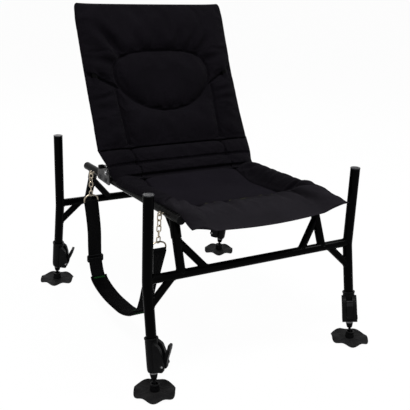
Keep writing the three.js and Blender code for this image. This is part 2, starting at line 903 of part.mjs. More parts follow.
function collarBody() {
  const top = -downLeg(collar.top);
  const bottom = -downLeg(collar.bottom);
  const body = collar.bodyDiameter / 2;
  const outline = [
    [0, bottom],
    [body - collar.chamferIn, bottom],
    [body, bottom + collar.chamferUp],
    [body, top - collar.flangeThickness],
    [collar.flangeDiameter / 2, top - collar.flangeThickness],
    [collar.flangeDiameter / 2, top],
    [0, top],
  ];
  const cheekOutline = [
    [body / 2, -downLeg(collar.cheekTop)],
    [collar.cheekReach - collar.cheekDraw, -downLeg(collar.cheekTop - collar.cheekTaper)],
    [collar.cheekReach, -downLeg(lever.pinHeight)],
    [collar.cheekReach - collar.cheekFootDraw, -downLeg(collar.cheekBottom)],
    [body / 2, -downLeg(collar.cheekBottom)],
  ];
  const half = collar.cheekSpan / 2;
  const slot = boxBetween(
    [body - running, -collar.slotWidth / 2, -downLeg(collar.cheekBottom - overrun)],
    [collar.cheekReach + overrun, collar.slotWidth / 2, -downLeg(collar.cheekTop + overrun)],
  );
  const pinBore = bar(
    leverPivot(-half - overrun),
    leverPivot(half + overrun),
    holeRadius(lever.pinDiameter / 2),
    smallSides,
  );
  const cheeks = cut(acrossPlate(cheekOutline, collar.cheekSpan), slot, pinBore);
  const tubeBore = bar(
    vec(0, 0, -slider.tubeEnd - running),
    vec(0, 0, top + overrun),
    holeRadius(tube.leg / 2, roundSides),
    roundSides,
  );
  const innerBore = bar(
    vec(0, 0, bottom - overrun),
    vec(0, 0, top),
    tube.legBore / 2,
  );
  return cut(join(turned(outline), cheeks), tubeBore, innerBore);
}

const leverPivot = (across) => vec(lever.pinOffset, across, -downLeg(lever.pinHeight));

// A plate from an outline of x and z pairs, centred on Y.
function acrossPlate(outline, width) {
  const shape = new THREE.Shape(outline.map(([x, z]) => new THREE.Vector2(x, z)));
  const geometry = new THREE.ExtrudeGeometry(shape, { depth: width, bevelEnabled: false });
  return solid(geometry.rotateX(Math.PI / 2).translate(0, width / 2, 0));
}

function boxBetween(low, high) {
  const size = low.map((value, index) => high[index] - value);
  const middle = low.map((value, index) => value + size[index] / 2);
  return solid(new THREE.BoxGeometry(...size).translate(...middle));
}

function camLever() {
  const pivot = leverPivot(0);
  const width = collar.slotWidth - 2 * running;
  const cam = bar(
    leverPivot(-width / 2),
    leverPivot(width / 2),
    lever.camRadius,
    smallSides,
  );
  const tipX = lever.tipReach;
  const tipZ = -downLeg(lever.tipHeight);
  const low = pivot.z;
  const rise = tipZ - low;
  const thick = lever.thickness;
  const arm = acrossPlate(
    [
      [pivot.x + thick / 2, low],
      [pivot.x + lever.camRadius, low],
      [tipX - thick / 2, low + rise * 0.55],
      [tipX + thick / 2, tipZ - thick / 2],
      [tipX + thick / 4, tipZ],
      [tipX - thick / 2, tipZ],
      [tipX - 1.4 * thick, low + rise * 0.55],
      [pivot.x - thick / 4, low + lever.camRadius * 0.9],
    ],
    width,
  );
  const bore = bar(
    leverPivot(-width),
    leverPivot(width),
    holeRadius(lever.pinDiameter / 2),
    smallSides,
  );
  return cut(join(cam, arm), bore);
}

function leverPin() {
  const half = collar.cheekSpan / 2;
  return bar(leverPivot(-half), leverPivot(half), lever.pinDiameter / 2, smallSides);
}

function innerLeg() {
  const radius = tube.legBore / 2 - slider.wall;
  const ballCentre = -downLeg(foot.ballHeight);
  const ball = foot.ballDiameter / 2;
  const neck = foot.neckDiameter / 2;
  const neckAngle = Math.asin(neck / ball);
  const outline = evenStops(4).map((share) => {
    const angle = mix(Math.PI, neckAngle, share);
    return [ball * Math.sin(angle), ballCentre + ball * Math.cos(angle)];
  });
  outline[0][0] = 0;
  outline.push(
    [neck, -downLeg(foot.plugLow)],
    [foot.plugLowDiameter / 2, -downLeg(foot.plugLow)],
    [radius, -downLeg(foot.plugTop)],
    [radius, -slider.innerTop],
    [0, -slider.innerTop],
  );
  return turned(outline);
}

// Feet, drawn upright with the ball's centre over the origin

function footSocket() {
  const cavity = foot.ballDiameter / 2 + foot.ballGap;
  const outer = foot.socketDiameter / 2;
  const throat = foot.throatDiameter / 2;
  const throatAngle = Math.asin(throat / cavity);
  const cavityLine = evenStops(4).map((share) => {
    const angle = mix(throatAngle, Math.PI, share);
    return [cavity * Math.sin(angle), foot.ballHeight + cavity * Math.cos(angle)];
  });
  cavityLine[cavityLine.length - 1][0] = 0;
  const outline = [
    [0, foot.headBottom],
    [foot.headDiameter / 2, foot.headBottom],
    [foot.headDiameter / 2, foot.headTop],
    [foot.spigotDiameter / 2, foot.headTop],
    [foot.spigotDiameter / 2, foot.socketBase],
    [outer - foot.socketChamferIn, foot.socketBase],
    [outer, foot.socketBase + foot.socketChamferUp],
    [outer, foot.socketTop],
    [foot.mouthDiameter / 2, foot.socketTop],
    ...cavityLine,
  ];
  return turned(outline, smallSides);
}

// A lobed disc with a stepped hole for the socket's spigot and its head.
function footDisc() {
  const spokes = 4 * foot.petals;
  const head = foot.headDiameter / 2 + running;
  const spigot = foot.spigotDiameter / 2 + running;
  const headSeat = foot.headTop + running;
  const hub = foot.hubDiameter / 2;
  const flat = foot.seatDiameter / 2;
  const edge = foot.discDiameter / 2;
  const wave = (angle) => (1 - Math.cos(foot.petals * angle)) / 2;
  const reach = (radius) => Math.max(0, (radius - flat) / (edge - flat));
  const lift = (radius, angle) => foot.petalRise * wave(angle) * reach(radius) ** 1.5;
  const topOver = (radius) => mix(foot.discHub, foot.discRim, smooth(radius, hub, edge));
  const profile = [
    [head, 0, 0],
    [flat, 0, 0],
    [mix(flat, edge, 0.5), 0, 0],
    [edge, 0, 0],
    [edge, 1, 0],
    [hub, 1, 0],
    [spigot, 1, 0],
    [spigot, 0, headSeat],
    [head, 0, headSeat],
  ];
  const point = ([radius, isTop, height], angle) => {
    const notch = foot.petalNotch * wave(angle) * reach(radius);
    const z = height + isTop * topOver(radius) + lift(radius, angle);
    return vec((radius - notch) * Math.cos(angle), (radius - notch) * Math.sin(angle), z);
  };
  return ringOf(evenStops(spokes).slice(0, -1).map((share) =>
    profile.map((place) => point(place, 2 * Math.PI * share)),
  ));
}

// A skin that closes on itself both ways, as a ring does.
function ringOf(sections) {
  const count = sections[0].length;
  const faces = [];
  sections.forEach((_, index) => {
    const low = index * count;
    const high = ((index + 1) % sections.length) * count;
    for (let side = 0; side < count; side += 1) {
      const next = (side + 1) % count;
      faces.push(low + side, high + next, low + next, low + side, high + side, high + next);
    }
  });
  const geometry = new THREE.BufferGeometry();
  const positions = sections.flat().flatMap((point) => point.toArray());
  geometry.setAttribute("position", new THREE.Float32BufferAttribute(positions, 3));
  geometry.setIndex(faces);
  return solid(geometry);
}

// Carrying strap, chains and shoulder pad

// The outline of a band of some thickness along part of the strap's route.
function bandOutline(route, thicknessAt) {
  const along = new Route(route.map(([y, z]) => vec(0, y, z)));
  const last = route.length - 1;
  const sides = [1, -1].map((side) =>
    route.map(([y, z], index) => {
      const tangent = along.getTangentAt(index / last);
      const half = (side * thicknessAt(index / last)) / 2;
      return [y - tangent.z * half, z + tangent.y * half];
    }),
  );
  return [...sides[0], ...sides[1].reverse()];
}

const strapBand = (width, thickness) =>
  sidePlate(
    bandOutline(strapRoute, () => thickness),
    strap.x - width / 2,
    strap.x + width / 2,
  );

function shoulderPad() {
  const body = sidePlate(
    bandOutline(padRoute, (share) => mix(strap.padPinch, strap.padThickness, plump(2 * share - 1, 4))),
    strap.x - strap.padWidth / 2,
    strap.x + strap.padWidth / 2,
  );
  return cut(body, strapBand(strap.width + 2 * running, strap.thickness + 2 * strap.clearance));
}

function strapSlider() {
  const [y, z] = sliderPlace;
  const half = strap.sliderHeight / 2;
  const body = boxBetween(
    [strap.x - strap.sliderWidth / 2, y - strap.sliderThickness / 2, z - half],
    [strap.x + strap.sliderWidth / 2, y + strap.sliderThickness / 2, z + half],
  );
  return cut(body, strapBand(strap.width + 2 * running, strap.thickness + 2 * strap.clearance));
}

// One oval link, standing along Z and turned about it.
function oval(length, width, wire, turn, sides = 8) {
  const middle = (width - wire) / 2;
  const geometry = new THREE.TorusGeometry(middle, wire / 2, 5, sides);
  geometry.scale(1, (length - wire) / (width - wire), 1);
  geometry.rotateX(Math.PI / 2).rotateZ(turn);
  return solid(geometry);
}

// A chain between the rail and a strap ring, its links resting in each other.
function chainTo(top, bottom) {
  const from = vec(strap.x, ...top);
  const to = vec(strap.x, ...bottom);
  const pitch = from.distanceTo(to) / chain.links;
  const length = pitch + 1.5 * chain.wire;
  const links = evenStops(chain.links).slice(0, -1).map((share, index) => {
    const link = oval(length, chain.linkWidth, chain.wire, (index % 2) * Math.PI / 2);
    const middle = from.clone().lerp(to, share + 0.5 / chain.links);
    return stood(link, middle, to);
  });
  const eye = bar(
    vec(-plateInside, from.y, from.z),
    vec(strap.x - chain.eyeDiameter / 2, from.y, from.z),
    chain.ringWire / 2 + running,
    smallSides,
  );
  const ring = oval(chain.ringWidth, chain.ringLength, chain.ringWire, 0, 12)
    .rotate([0, 90, 0])
    .translate([to.x, to.y, to.z - chain.ringLength / 2 + chain.ringWire]);
  return join(eye, ...links, ring);
}

// Assembly

const chair = new THREE.Group();
chair.name = "carp_fishing_chair";

const corners = [
  { name: "front_left", side: 1, end: -1, leverTurn: 127 },
  { name: "front_right", side: -1, end: -1, leverTurn: 135 },
  { name: "rear_left", side: 1, end: 1, leverTurn: 135 },
  { name: "rear_right", side: -1, end: 1, leverTurn: 210 },
];

for (const corner of corners) {
  const group = new THREE.Group();
  group.scale.set(corner.side, corner.end, 1);
  chair.add(group);
  addMesh(group, `leg_tube_${corner.name}`, legTube(), blackPaint);
  addMesh(group, `leg_cap_${corner.name}`, legCap(), greyPlastic);
  addMesh(group, `gusset_${corner.name}`, cornerGusset(), blackPaint);
  addMesh(group, `truss_${corner.name}`, truss(corner.end), blackPaint);

  const lower = new THREE.Group();
  lower.position.set(base.halfWidth, base.halfDepth, base.bendHeight);
  lower.rotation.x = kick;
  group.add(lower);
  addMesh(lower, `inner_leg_${corner.name}`, innerLeg(), greySteel);

  const clamp = new THREE.Group();
  clamp.rotation.z = THREE.MathUtils.degToRad(corner.leverTurn);
  lower.add(clamp);
  addMesh(clamp, `collar_${corner.name}`, collarBody(), blackPlastic);
  addMesh(clamp, `cam_lever_${corner.name}`, camLever(), blackPlastic);
  addMesh(clamp, `lever_pin_${corner.name}`, leverPin(), zincSteel);

  const sole = new THREE.Group();
  const ball = lowerLegPoint(downLeg(foot.ballHeight));
  sole.position.set(ball.x, ball.y, 0);
  group.add(sole);
  addMesh(sole, `foot_socket_${corner.name}`, footSocket(), blackPlastic);
  addMesh(sole, `foot_disc_${corner.name}`, footDisc(), footRubber);
}

for (const [name, end] of [["front", -1], ["rear", 1]]) {
  const group = new THREE.Group();
  group.scale.set(1, end, 1);
  chair.add(group);
  addMesh(group, `crossbar_${name}`, crossbar(), blackPaint);
}

for (const [name, side] of [["left", 1], ["right", -1]]) {
  const group = new THREE.Group();
  group.scale.set(side, 1, 1);
  chair.add(group);
  addMesh(group, `side_rail_${name}`, sideRail(), blackPaint);
  addMesh(group, `hinge_plate_${name}`, hingePlate(), greySteel);
  addMesh(group, `pivot_bolt_${name}`, pivotBolt(), zincSteel);
  addMesh(group, `stop_pin_${name}`, stopPin(), blackPlastic);
}

const backrest = new THREE.Group();
backrest.position.set(0, hinge.y, hingeHeight);
backrest.rotation.x = -lean;
chair.add(backrest);
addMesh(backrest, "back_frame", backFrame(), blackPaint);
addMesh(backrest, "back_pad", backPad(), padFabric);

addMesh(chair, "seat_pad", seatPad(), padFabric);
addMesh(chair, "lumbar_roll", lumbarRoll(), padFabric);

// A chain's upper end on the rail and its ring over an end of the strap.
const chainAt = (y, [endY, endHeight], set) =>
  chainTo([y, railHeight(y)], [endY + set, endHeight + chain.ringRise]);
const rearChain = chainAt(chain.rearY, strapRoute[0], chain.rearSet);
const frontChain = chainAt(chain.frontY, strapRoute[strapRoute.length - 1], chain.frontSet);
addMesh(chair, "carry_strap", strapBand(strap.width, strap.thickness), webbing);
addMesh(chair, "shoulder_pad", shoulderPad(), padFabric);
addMesh(chair, "strap_slider", strapSlider(), blackPlastic);
addMesh(chair, "chain_rear", rearChain, chainSteel);
addMesh(chair, "chain_front", frontChain, chainSteel);

export default chair;
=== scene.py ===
"""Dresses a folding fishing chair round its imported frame: painted tubes, clamps, swivel feet,
quilted cushions and a carrying strap. Metres, +Z up. The chair looks along -Y and the
sitter's left hand is at +X."""
import math

import bpy
import numpy as np
from bpy.props import FloatProperty, FloatVectorProperty, IntProperty, PointerProperty
from mathutils import Matrix, Vector
from mathutils.bvhtree import BVHTree


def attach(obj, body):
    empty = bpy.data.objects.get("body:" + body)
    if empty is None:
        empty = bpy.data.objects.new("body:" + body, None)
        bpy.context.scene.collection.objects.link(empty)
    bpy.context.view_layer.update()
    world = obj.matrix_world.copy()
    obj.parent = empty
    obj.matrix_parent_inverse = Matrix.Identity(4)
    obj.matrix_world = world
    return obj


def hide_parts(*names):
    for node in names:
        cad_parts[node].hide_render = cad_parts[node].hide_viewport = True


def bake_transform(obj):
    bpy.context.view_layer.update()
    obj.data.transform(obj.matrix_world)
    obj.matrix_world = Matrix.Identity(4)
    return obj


bl_info = {
    "name": "Folding Fishing Chair",
    "version": (1, 0, 0),
    "blender": (4, 5, 0),
    "location": "View3D > Sidebar > Chair",
    "description": "Builds a folding fishing chair with quilted cushions and swivel feet",
    "category": "Add Mesh",
}

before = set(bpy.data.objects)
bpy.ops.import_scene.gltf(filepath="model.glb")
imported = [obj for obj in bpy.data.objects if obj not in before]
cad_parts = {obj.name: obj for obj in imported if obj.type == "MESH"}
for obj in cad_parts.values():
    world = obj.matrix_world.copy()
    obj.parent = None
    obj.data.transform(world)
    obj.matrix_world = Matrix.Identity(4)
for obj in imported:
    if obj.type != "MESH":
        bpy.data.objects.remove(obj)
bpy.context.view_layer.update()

CORNERS = (
    # name, side along X, end along Y, turn of the clamp lever in degrees
    ("front_left", 1, -1, 127),
    ("front_right", -1, -1, 135),
    ("rear_left", 1, 1, 135),
    ("rear_right", -1, 1, 210),
)
SIDES = (("left", 1), ("right", -1))
CLEAR = 0.0003  # play between hard parts

# The carrying strap: its x, and where it runs, as y and z
STRAP_X = -0.228
STRAP_ROUTE = (
    (0.207, 0.293), (0.196, 0.236), (0.1895, 0.2), (0.189, 0.16), (0.187, 0.122),
    (0.172, 0.086), (0.151, 0.067), (0.115, 0.057), (0.06, 0.0515), (0.0, 0.0535),
    (-0.05, 0.059), (-0.1, 0.076), (-0.14, 0.103), (-0.161, 0.139), (-0.18, 0.19),
    (-0.205, 0.256), (-0.222, 0.306),
)
SLIDER_POINT, PAD_POINTS = 4, (6, 12)  # places in STRAP_ROUTE
PAD_HALF_WIDTH = 0.025
WEBBING_WIDTH, WEBBING_THICKNESS = 0.04, 0.0022

# The webbing's two ends: the fold round a ring, and the layer that is sewn back on the strap
REAR_FOLD = (
    (0.2085, 0.2825), (0.2105, 0.2885), (0.2145, 0.2915), (0.2188, 0.2885), (0.2182, 0.281),
)
REAR_LAYER = ((0.2035, 0.24), (0.1945, 0.2), (0.1935, 0.16), (0.1912, 0.127))
FRONT_FOLD = (
    (-0.2215, 0.2935), (-0.2215, 0.2995), (-0.2252, 0.3032), (-0.2292, 0.3), (-0.2285, 0.2925),
)
FRONT_LAYER = ((-0.2155, 0.262), (-0.2035, 0.233), (-0.196, 0.212))

# Each chain's eye screw and ring, as y and z, and the links' width and how far they turn
CHAINS = (
    ("rear", (0.212, 0.37354), (0.215, 0.297)),
    ("front", (-0.229, 0.39127), (-0.225, 0.31)),
)
LINK_WIDTH, LINK_SWAY = 0.0128, 20

# Along the axis of a lower leg: heights above the ground, and how far out the lever's pin stands
BALL_HEIGHT = 0.014
LEVER_HEIGHT, LEVER_OUT = 0.069, 0.028

# The stop pin, and the places of the screws in a hinge plate
PEG_RADIUS, PEG_RISE = 0.004, 0.0215
PLATE_SCREWS = (0.12, 0.162)


# Sizes and colours that a user may change


def length(name, default, description):
    """A length in metres."""
    return FloatProperty(
        name=name, description=description, default=default, unit="LENGTH", precision=4
    )


def angle(name, degrees, description):
    """An angle, given in degrees."""
    return FloatProperty(
        name=name, description=description, default=math.radians(degrees), subtype="ANGLE"
    )


def colour(name, default, description):
    """A colour, in linear red, green and blue."""
    return FloatVectorProperty(
        name=name, description=description, default=default, subtype="COLOR", size=3, min=0, max=1
    )


class ChairBaseSizes(bpy.types.PropertyGroup):
    half_width: length("Half width", 0.292, "From the middle plane to a leg's axis")
    half_depth: length("Half depth", 0.302, "From the middle to a crossbar's axis")
    crossbar_height: length("Crossbar height", 0.264, "Axis of both crossbars above the ground")
    leg_top: length("Leg top", 0.465, "Upper end of the outer legs")
    bend_height: length("Bend height", 0.258, "Where the legs turn outwards")
    bend_radius: length("Bend radius", 0.09, "Radius of the bend in the legs")
    kick: angle("Kick", 10.85, "How far the lower legs lean outwards")
    leg: length("Leg diameter", 0.025, "Outer leg tubes")
    crossbar: length("Crossbar diameter", 0.022, "Front and rear crossbar")
    gusset: length("Gusset diameter", 0.019, "Short tubes below the crossbars")
    strut: length("Strut diameter", 0.022, "Leaning tubes that carry the seat rails")
    brace: length("Brace diameter", 0.019, "Tubes beside the struts")
    stay: length("Stay diameter", 0.012, "Thin tubes between strut and rail")
    tube_end: length("Tube end", 0.2, "From the bend down to the outer leg's lower end")
    gusset_inset: length("Gusset inset", 0.066, "Where a gusset meets the crossbar, from the leg")
    gusset_drop: length("Gusset drop", 0.058, "Where a gusset meets the leg, below the bend")
    bead: length("Weld bead", 0.0016, "Radius of the weld beads")


class ChairSeatFrameSizes(bpy.types.PropertyGroup):
    rail: length("Rail diameter", 0.022, "Seat rails")
    rail_x: length("Rail spacing", 0.206, "From the middle plane to a rail's axis")
    rear_y: length("Rear end", 0.3, "Rear end of the rails")
    front_y: length("Front end", -0.297, "Front end of the rails")
    rear_height: length("Rear height", 0.37, "Axis of the rails at their rear end")
    front_height: length("Front height", 0.394, "Axis of the rails at their front end")
    strut_foot_x: length("Strut foot", 0.205, "Foot of a strut, from the middle plane")
    strut_top_x: length("Strut top", 0.202, "Top of a strut, from the middle plane")
    strut_top: length("Strut top height", 0.376, "Top of a strut's axis above the ground")
    strut_lean: angle("Strut lean", 23.3, "How far a strut leans to the chair's middle")
    brace_foot_x: length("Brace foot", 0.137, "Foot of a brace, from the middle plane")
    brace_height: length("Brace height", 0.337, "Where a brace meets its strut")
    stay_height: length("Stay height", 0.335, "Where a stay leaves its strut")
    stay_reach: length("Stay reach", 0.054, "How far a stay reaches along the rail")


class ChairHingeSizes(bpy.types.PropertyGroup):
    y: length("Pivot place", 0.11, "Backrest pivot, behind the middle")
    height: length("Pivot height", 0.399638, "Backrest pivot above the ground")
    lean: angle("Lean", 26.1, "Backrest's lean from upright")
    plate: length("Plate thickness", 0.004, "Hinge plates")
    bolt: length("Bolt diameter", 0.008, "Pivot bolts")
    tube: length("Back tube diameter", 0.019, "Backrest hoop")
    tube_x: length("Back tube spacing", 0.207, "From the middle plane to the hoop's side")
    tube_top: length("Hoop top", 0.449, "Top of the hoop from the pivot, along the lean")
    corner: length("Hoop corner", 0.07, "Bend radius of the hoop's corners")


class ChairCushionSizes(bpy.types.PropertyGroup):
    pressure: FloatProperty(name="Pressure", description="Filling of the cushions", default=4.0)
    seam_depth: length("Seam depth", 0.006, "Depth of a seam's narrow groove")
    seam_width: length("Seam width", 0.003, "Reach of the narrow groove to each side")
    dip_depth: length("Dip depth", 0.0085, "How far the filling is drawn down round a seam")
    dip_width: length("Dip width", 0.0165, "Reach of that dip to each side")
    thread: length("Thread", 0.00042, "Radius of the sewing thread")
    stitch: length("Stitch pitch", 0.0042, "Spacing of the stitches")


class ChairFinishes(bpy.types.PropertyGroup):
    paint: colour("Black paint", (0.0005, 0.0005, 0.0006), "Frame tubes")
    bracket: colour("Bracket grey", (0.03, 0.03, 0.031), "Hinge plates")
    steel: colour("Steel", (0.22, 0.22, 0.225), "Bolts, pins and inner legs")
    chain: colour("Chain metal", (0.33, 0.285, 0.22), "Chains and strap rings")
    plastic: colour("Black plastic", (0.0026, 0.0026, 0.0029), "Clamps, sockets and buckle")
    cap: colour("Grey plastic", (0.013, 0.013, 0.015), "Leg plugs")
    tip: colour("Dark grey plastic", (0.009, 0.009, 0.01), "Lever tips")
    rubber: colour("Foot rubber", (0.0034, 0.0034, 0.0037), "Swivel feet")
    fabric: colour("Cushion fabric", (0.0037, 0.0032, 0.0044), "Backrest, rolls and seat border")
    # Painted light: a lighter colour for the seat's front edge, standing in for the light that
    # falls on it.
    painted_front_light: colour("Front fabric with painted light", (0.0085, 0.0077, 0.0096), "Rubbed front edge of the seat")
    pad: colour("Pad fabric", (0.001, 0.0009, 0.0011), "Shoulder pad")
    panel: colour("Seat panel fabric", (0.0052, 0.0045, 0.0064), "Flat panel in the seat")
    webbing: colour("Webbing", (0.0018, 0.0018, 0.002), "Carrying strap and binding")
    thread: colour("Thread", (0.0014, 0.0013, 0.0016), "Seams")
    pale_thread: colour("Olive thread", (0.085, 0.088, 0.034), "Front seam of the seat panel")
    bright_thread: colour("Green thread", (0.01, 0.06, 0.014), "Ends of the shoulder pad")


class ChairStage(bpy.types.PropertyGroup):
    azimuth: angle("Azimuth", -30.2, "Direction that the camera looks from")
    elevation: angle("Elevation", 18.4, "Camera's height over the horizon")
    roll: angle("Roll", 2.23, "Camera's roll")
    place: FloatVectorProperty(
        name="Place", description="Camera's place", default=(-0.938, -1.658, 0.947), unit="LENGTH"
    )
    lens: FloatProperty(name="Lens", description="Focal length in millimetres", default=63.48)
    sky: FloatProperty(name="Sky", description="Soft light from all round", default=0.38)
    seed: IntProperty(name="Seed", description="Seed of the puckers in the cloth", default=7)


GROUPS = {
    "chair_base": ChairBaseSizes,
    "chair_seat_frame": ChairSeatFrameSizes,
    "chair_hinge": ChairHingeSizes,
    "chair_cushions": ChairCushionSizes,
    "chair_finishes": ChairFinishes,
    "chair_stage": ChairStage,
}


# Shapes

# A rounded tube end: steps in from the end and under the full radius, as shares of the rounding
END_CURVE = ((0, 1), (0.15, 0.45), (0.5, 0.1))
LONGEST_CUT = 0.45  # of an edge, where its corner is rounded
COPE_SINK = 0.0004  # how far a coped tube's end goes into the tube that it meets
BEAD_STEP, BEAD_RIPPLE, BEAD_TURN = 0.0016, 0.12, 2.1


class Shape:
    """A mesh in the making: its points and the faces between them."""

    def __init__(self, points=(), faces=()):
        self.points = np.array(points, float).reshape(-1, 3)
        self.faces = [tuple(face) for face in faces]

    def __add__(self, other):
        start = len(self.points)
        faces = [tuple(index + start for index in face) for face in other.faces]
        return Shape(np.vstack([self.points, other.points]), self.faces + faces)

    def placed(self, matrix):
        """A copy moved, turned or mirrored by a 4x4 matrix."""
        mirrored = np.linalg.det(np.array(matrix)[:3, :3]) < 0
        faces = [face[::-1] for face in self.faces] if mirrored else self.faces
        return Shape(carried(matrix, self.points), faces)


def carried(matrix, points):
    """Points moved by a 4x4 matrix."""
    m = np.array(matrix)
    return points @ m[:3, :3].T + m[:3, 3]


def unit(v):
    v = np.asarray(v, float)
    return v / np.linalg.norm(v, axis=-1, keepdims=True)


def mix(a, b, share):
    return a + (b - a) * share


def smoothed(value, low, high):
    """0 below low, 1 above high, and a soft step between."""
    t = np.clip((np.asarray(value, float) - low) / (high - low), 0, 1)
    return t * t * (3 - 2 * t)


def plump(share, fullness):
    """A plump cross-section: 1 in the middle, falling to nothing at -1 and 1."""
    return np.sqrt(np.clip(1 - np.abs(share) ** fullness, 0, None))


def circle(radius, sides):
    turn = np.arange(sides) * 2 * math.pi / sides
    return np.stack([radius * np.cos(turn), radius * np.sin(turn)], 1)


def rounded(points, radius, steps=5, closed=True):
    """A polyline with each corner turned into a short curve."""
    points = [np.array(p, float) for p in points]
    count = len(points)
    made = []
    for index, corner in enumerate(points):
        if not closed and index in (0, count - 1):
            made.append(corner)
            continue
        cuts = []
        for other in (points[index - 1], points[(index + 1) % count]):
            reach = np.linalg.norm(other - corner)
            cuts.append(corner + (other - corner) / reach * min(radius, reach * LONGEST_CUT))
        for share in np.linspace(0, 1, steps + 1):
            first, last = mix(cuts[0], corner, share), mix(corner, cuts[1], share)
            made.append(mix(first, last, share))
    return np.array(made)


def spline(points, steps):
    """A smooth line through points, with some steps in each span."""
    points = np.asarray(points, float)
    padded = np.vstack([2 * points[0] - points[1], points, 2 * points[-1] - points[-2]])
    made = []
    for a, b, c, d in zip(padded, padded[1:], padded[2:], padded[3:]):
        for t in np.arange(steps) / steps:
            made.append(
                0.5 * (2 * b + (c - a) * t + (2 * a - 5 * b + 4 * c - d) * t**2
                       + (3 * b - a - 3 * c + d) * t**3)
            )
    return np.array(made + [points[-1]])


def resampled(line, spacing, closed=False):
    """The line with points at an even spacing."""
    line = np.asarray(line, float)
    if closed:
        line = np.vstack([line, line[:1]])
    travel = np.concatenate([[0], np.cumsum(np.linalg.norm(np.diff(line, axis=0), axis=1))])
    count = max(2, round(travel[-1] / spacing) + 1)
    at = np.linspace(0, travel[-1], count)
    made = np.stack([np.interp(at, travel, line[:, i]) for i in range(line.shape[1])], 1)
    return made[:-1] if closed else made


def side_directions(path, closed=False, start=None):
    """Two directions across a path at each of its points, without twist."""
    path = np.asarray(path, float)
    if closed:
        tangents = unit(np.roll(path, -1, 0) - np.roll(path, 1, 0))
    else:
        tangents = unit(np.gradient(path, axis=0))
    if start is None:
        start = np.eye(3)[np.argmin(np.abs(tangents[0]))]
    normal = np.array(start, float)
    normals = []
    for tangent in tangents:
        normal = unit(normal - tangent * (normal @ tangent))
        normals.append(normal)
    normals = np.array(normals)
    others = np.cross(tangents, normals)
    if closed:
        last = unit(normals[-1] - tangents[0] * (normals[-1] @ tangents[0]))
        twist = math.atan2(last @ others[0], last @ normals[0])
        turn = -twist * np.arange(len(path)) / len(path)
        cosine, sine = np.cos(turn)[:, None], np.sin(turn)[:, None]
        normals, others = normals * cosine + others * sine, others * cosine - normals * sine
    return normals, others


def band_faces(rings, count, closed):
    """Quads between rings of points that follow each other."""
    faces = []
    for ring in range(rings if closed else rings - 1):
        low, high = ring * count, (ring + 1) % rings * count
        for side in range(count):
            after = (side + 1) % count
            faces.append((low + side, low + after, high + after, high + side))
    return faces


def capped_faces(rings, count):
    """Quads between open rings, and a face over each end."""
    last = (rings - 1) * count
    ends = [tuple(range(count))[::-1], tuple(range(last, last + count))]
    return band_faces(rings, count, False) + ends


def swept(path, section, scale=None, closed=False, start=None):
    """A section carried along a path. The section is in the path's own across directions."""
    path = np.asarray(path, float)
    normals, others = side_directions(path, closed, start)
    scale = np.ones(len(path)) if scale is None else np.asarray(scale, float)
    points = [
        place + size * (section[:, :1] * normal + section[:, 1:] * other)
        for place, normal, other, size in zip(path, normals, others, scale)
    ]
    rings, count = len(path), len(section)
    faces = band_faces(rings, count, True) if closed else capped_faces(rings, count)
    return Shape(np.vstack(points), faces)


def tube(path, radius, sides=36, end_round=0.0):
    """A round tube along a path, its end edges rounded if asked."""
    path = np.asarray(path, float)
    scale = np.ones(len(path))
    if end_round:
        for _ in range(2):
            inward = unit(path[1] - path[0])
            steps = [path[0] + inward * end_round * share for share, _ in END_CURVE]
            sizes = [1 - end_round / radius * cut for _, cut in END_CURVE]
            path = np.vstack([steps, path[0] + inward * end_round, path[1:]])
            scale = np.concatenate([sizes, [1], scale[1:]])
            path, scale = path[::-1], scale[::-1]
    return swept(path, circle(radius, sides), scale)


def turned(outline, sides=48):
    """A body turned about Z, from radius and height pairs that run from its foot to its top."""
    points, rings = [], []
    for radius, height in outline:
        start = len(points)
        if radius < 1e-7:
            points.append((0, 0, height))
            rings.append([start])
        else:
            points += [(x, y, height) for x, y in circle(radius, sides)]
            rings.append(list(range(start, start + sides)))
    faces = []
    for low, high in zip(rings, rings[1:]):
        for side in range(sides):
            after = (side + 1) % sides
            places = ((low, side), (low, after), (high, after), (high, side))
            corners = [ring[index % len(ring)] for ring, index in places]
            faces.append(tuple(dict.fromkeys(corners)))
    return Shape(points, faces)


def lathed(outline, radius, steps, sides):
    """A turned body whose outline has rounded corners."""
    return turned(rounded(outline, radius, steps, closed=False), sides)


def drum(radius, low, high, edge, steps, sides):
    """A round body between two heights, with rounded edges."""
    return lathed([(0, low), (radius, low), (radius, high), (0, high)], edge, steps, sides)


def oblong(half_width, half_height):
    """A rectangle round the origin, as its four corners."""
    return [(x * half_width, y * half_height) for x, y in ((-1, -1), (1, -1), (1, 1), (-1, 1))]


def plate(outline, low, high):
    """A plate along Z between two heights, from an outline of x and y pairs."""
    outline = np.asarray(outline, float)
    after = np.roll(outline, -1, 0)
    if np.sum(outline[:, 0] * after[:, 1] - after[:, 0] * outline[:, 1]) < 0:
        outline = outline[::-1]
    points = [(x, y, z) for z in (low, high) for x, y in outline]
    return Shape(points, capped_faces(2, len(outline)))


# Takes x, y, z of a plate or a turned body to z, x, y: what stood along Z then lies along X.
ALONG_X = Matrix(((0, 0, 1, 0), (1, 0, 0, 0), (0, 1, 0, 0), (0, 0, 0, 1)))
# Takes x, y, z to x, -z, y: what stood along Z then lies along -Y.
ALONG_Y = Matrix(((1, 0, 0, 0), (0, 0, -1, 0), (0, 1, 0, 0), (0, 0, 0, 1)))


def met(points, direction, axis_point, axis, radius):
    """Each point moved along a direction to where it first meets a round tube."""
    axis, direction = unit(axis), unit(direction)
    away = points - np.asarray(axis_point, float)
    away = away - (away @ axis)[:, None] * axis
    across = direction - (direction @ axis) * axis
    a = across @ across
    b = 2 * away @ across
    c = (away**2).sum(1) - radius**2
    travel = (-b - np.sqrt(np.clip(b * b - 4 * a * c, 0, None))) / (2 * a)
    return points + travel[:, None] * direction


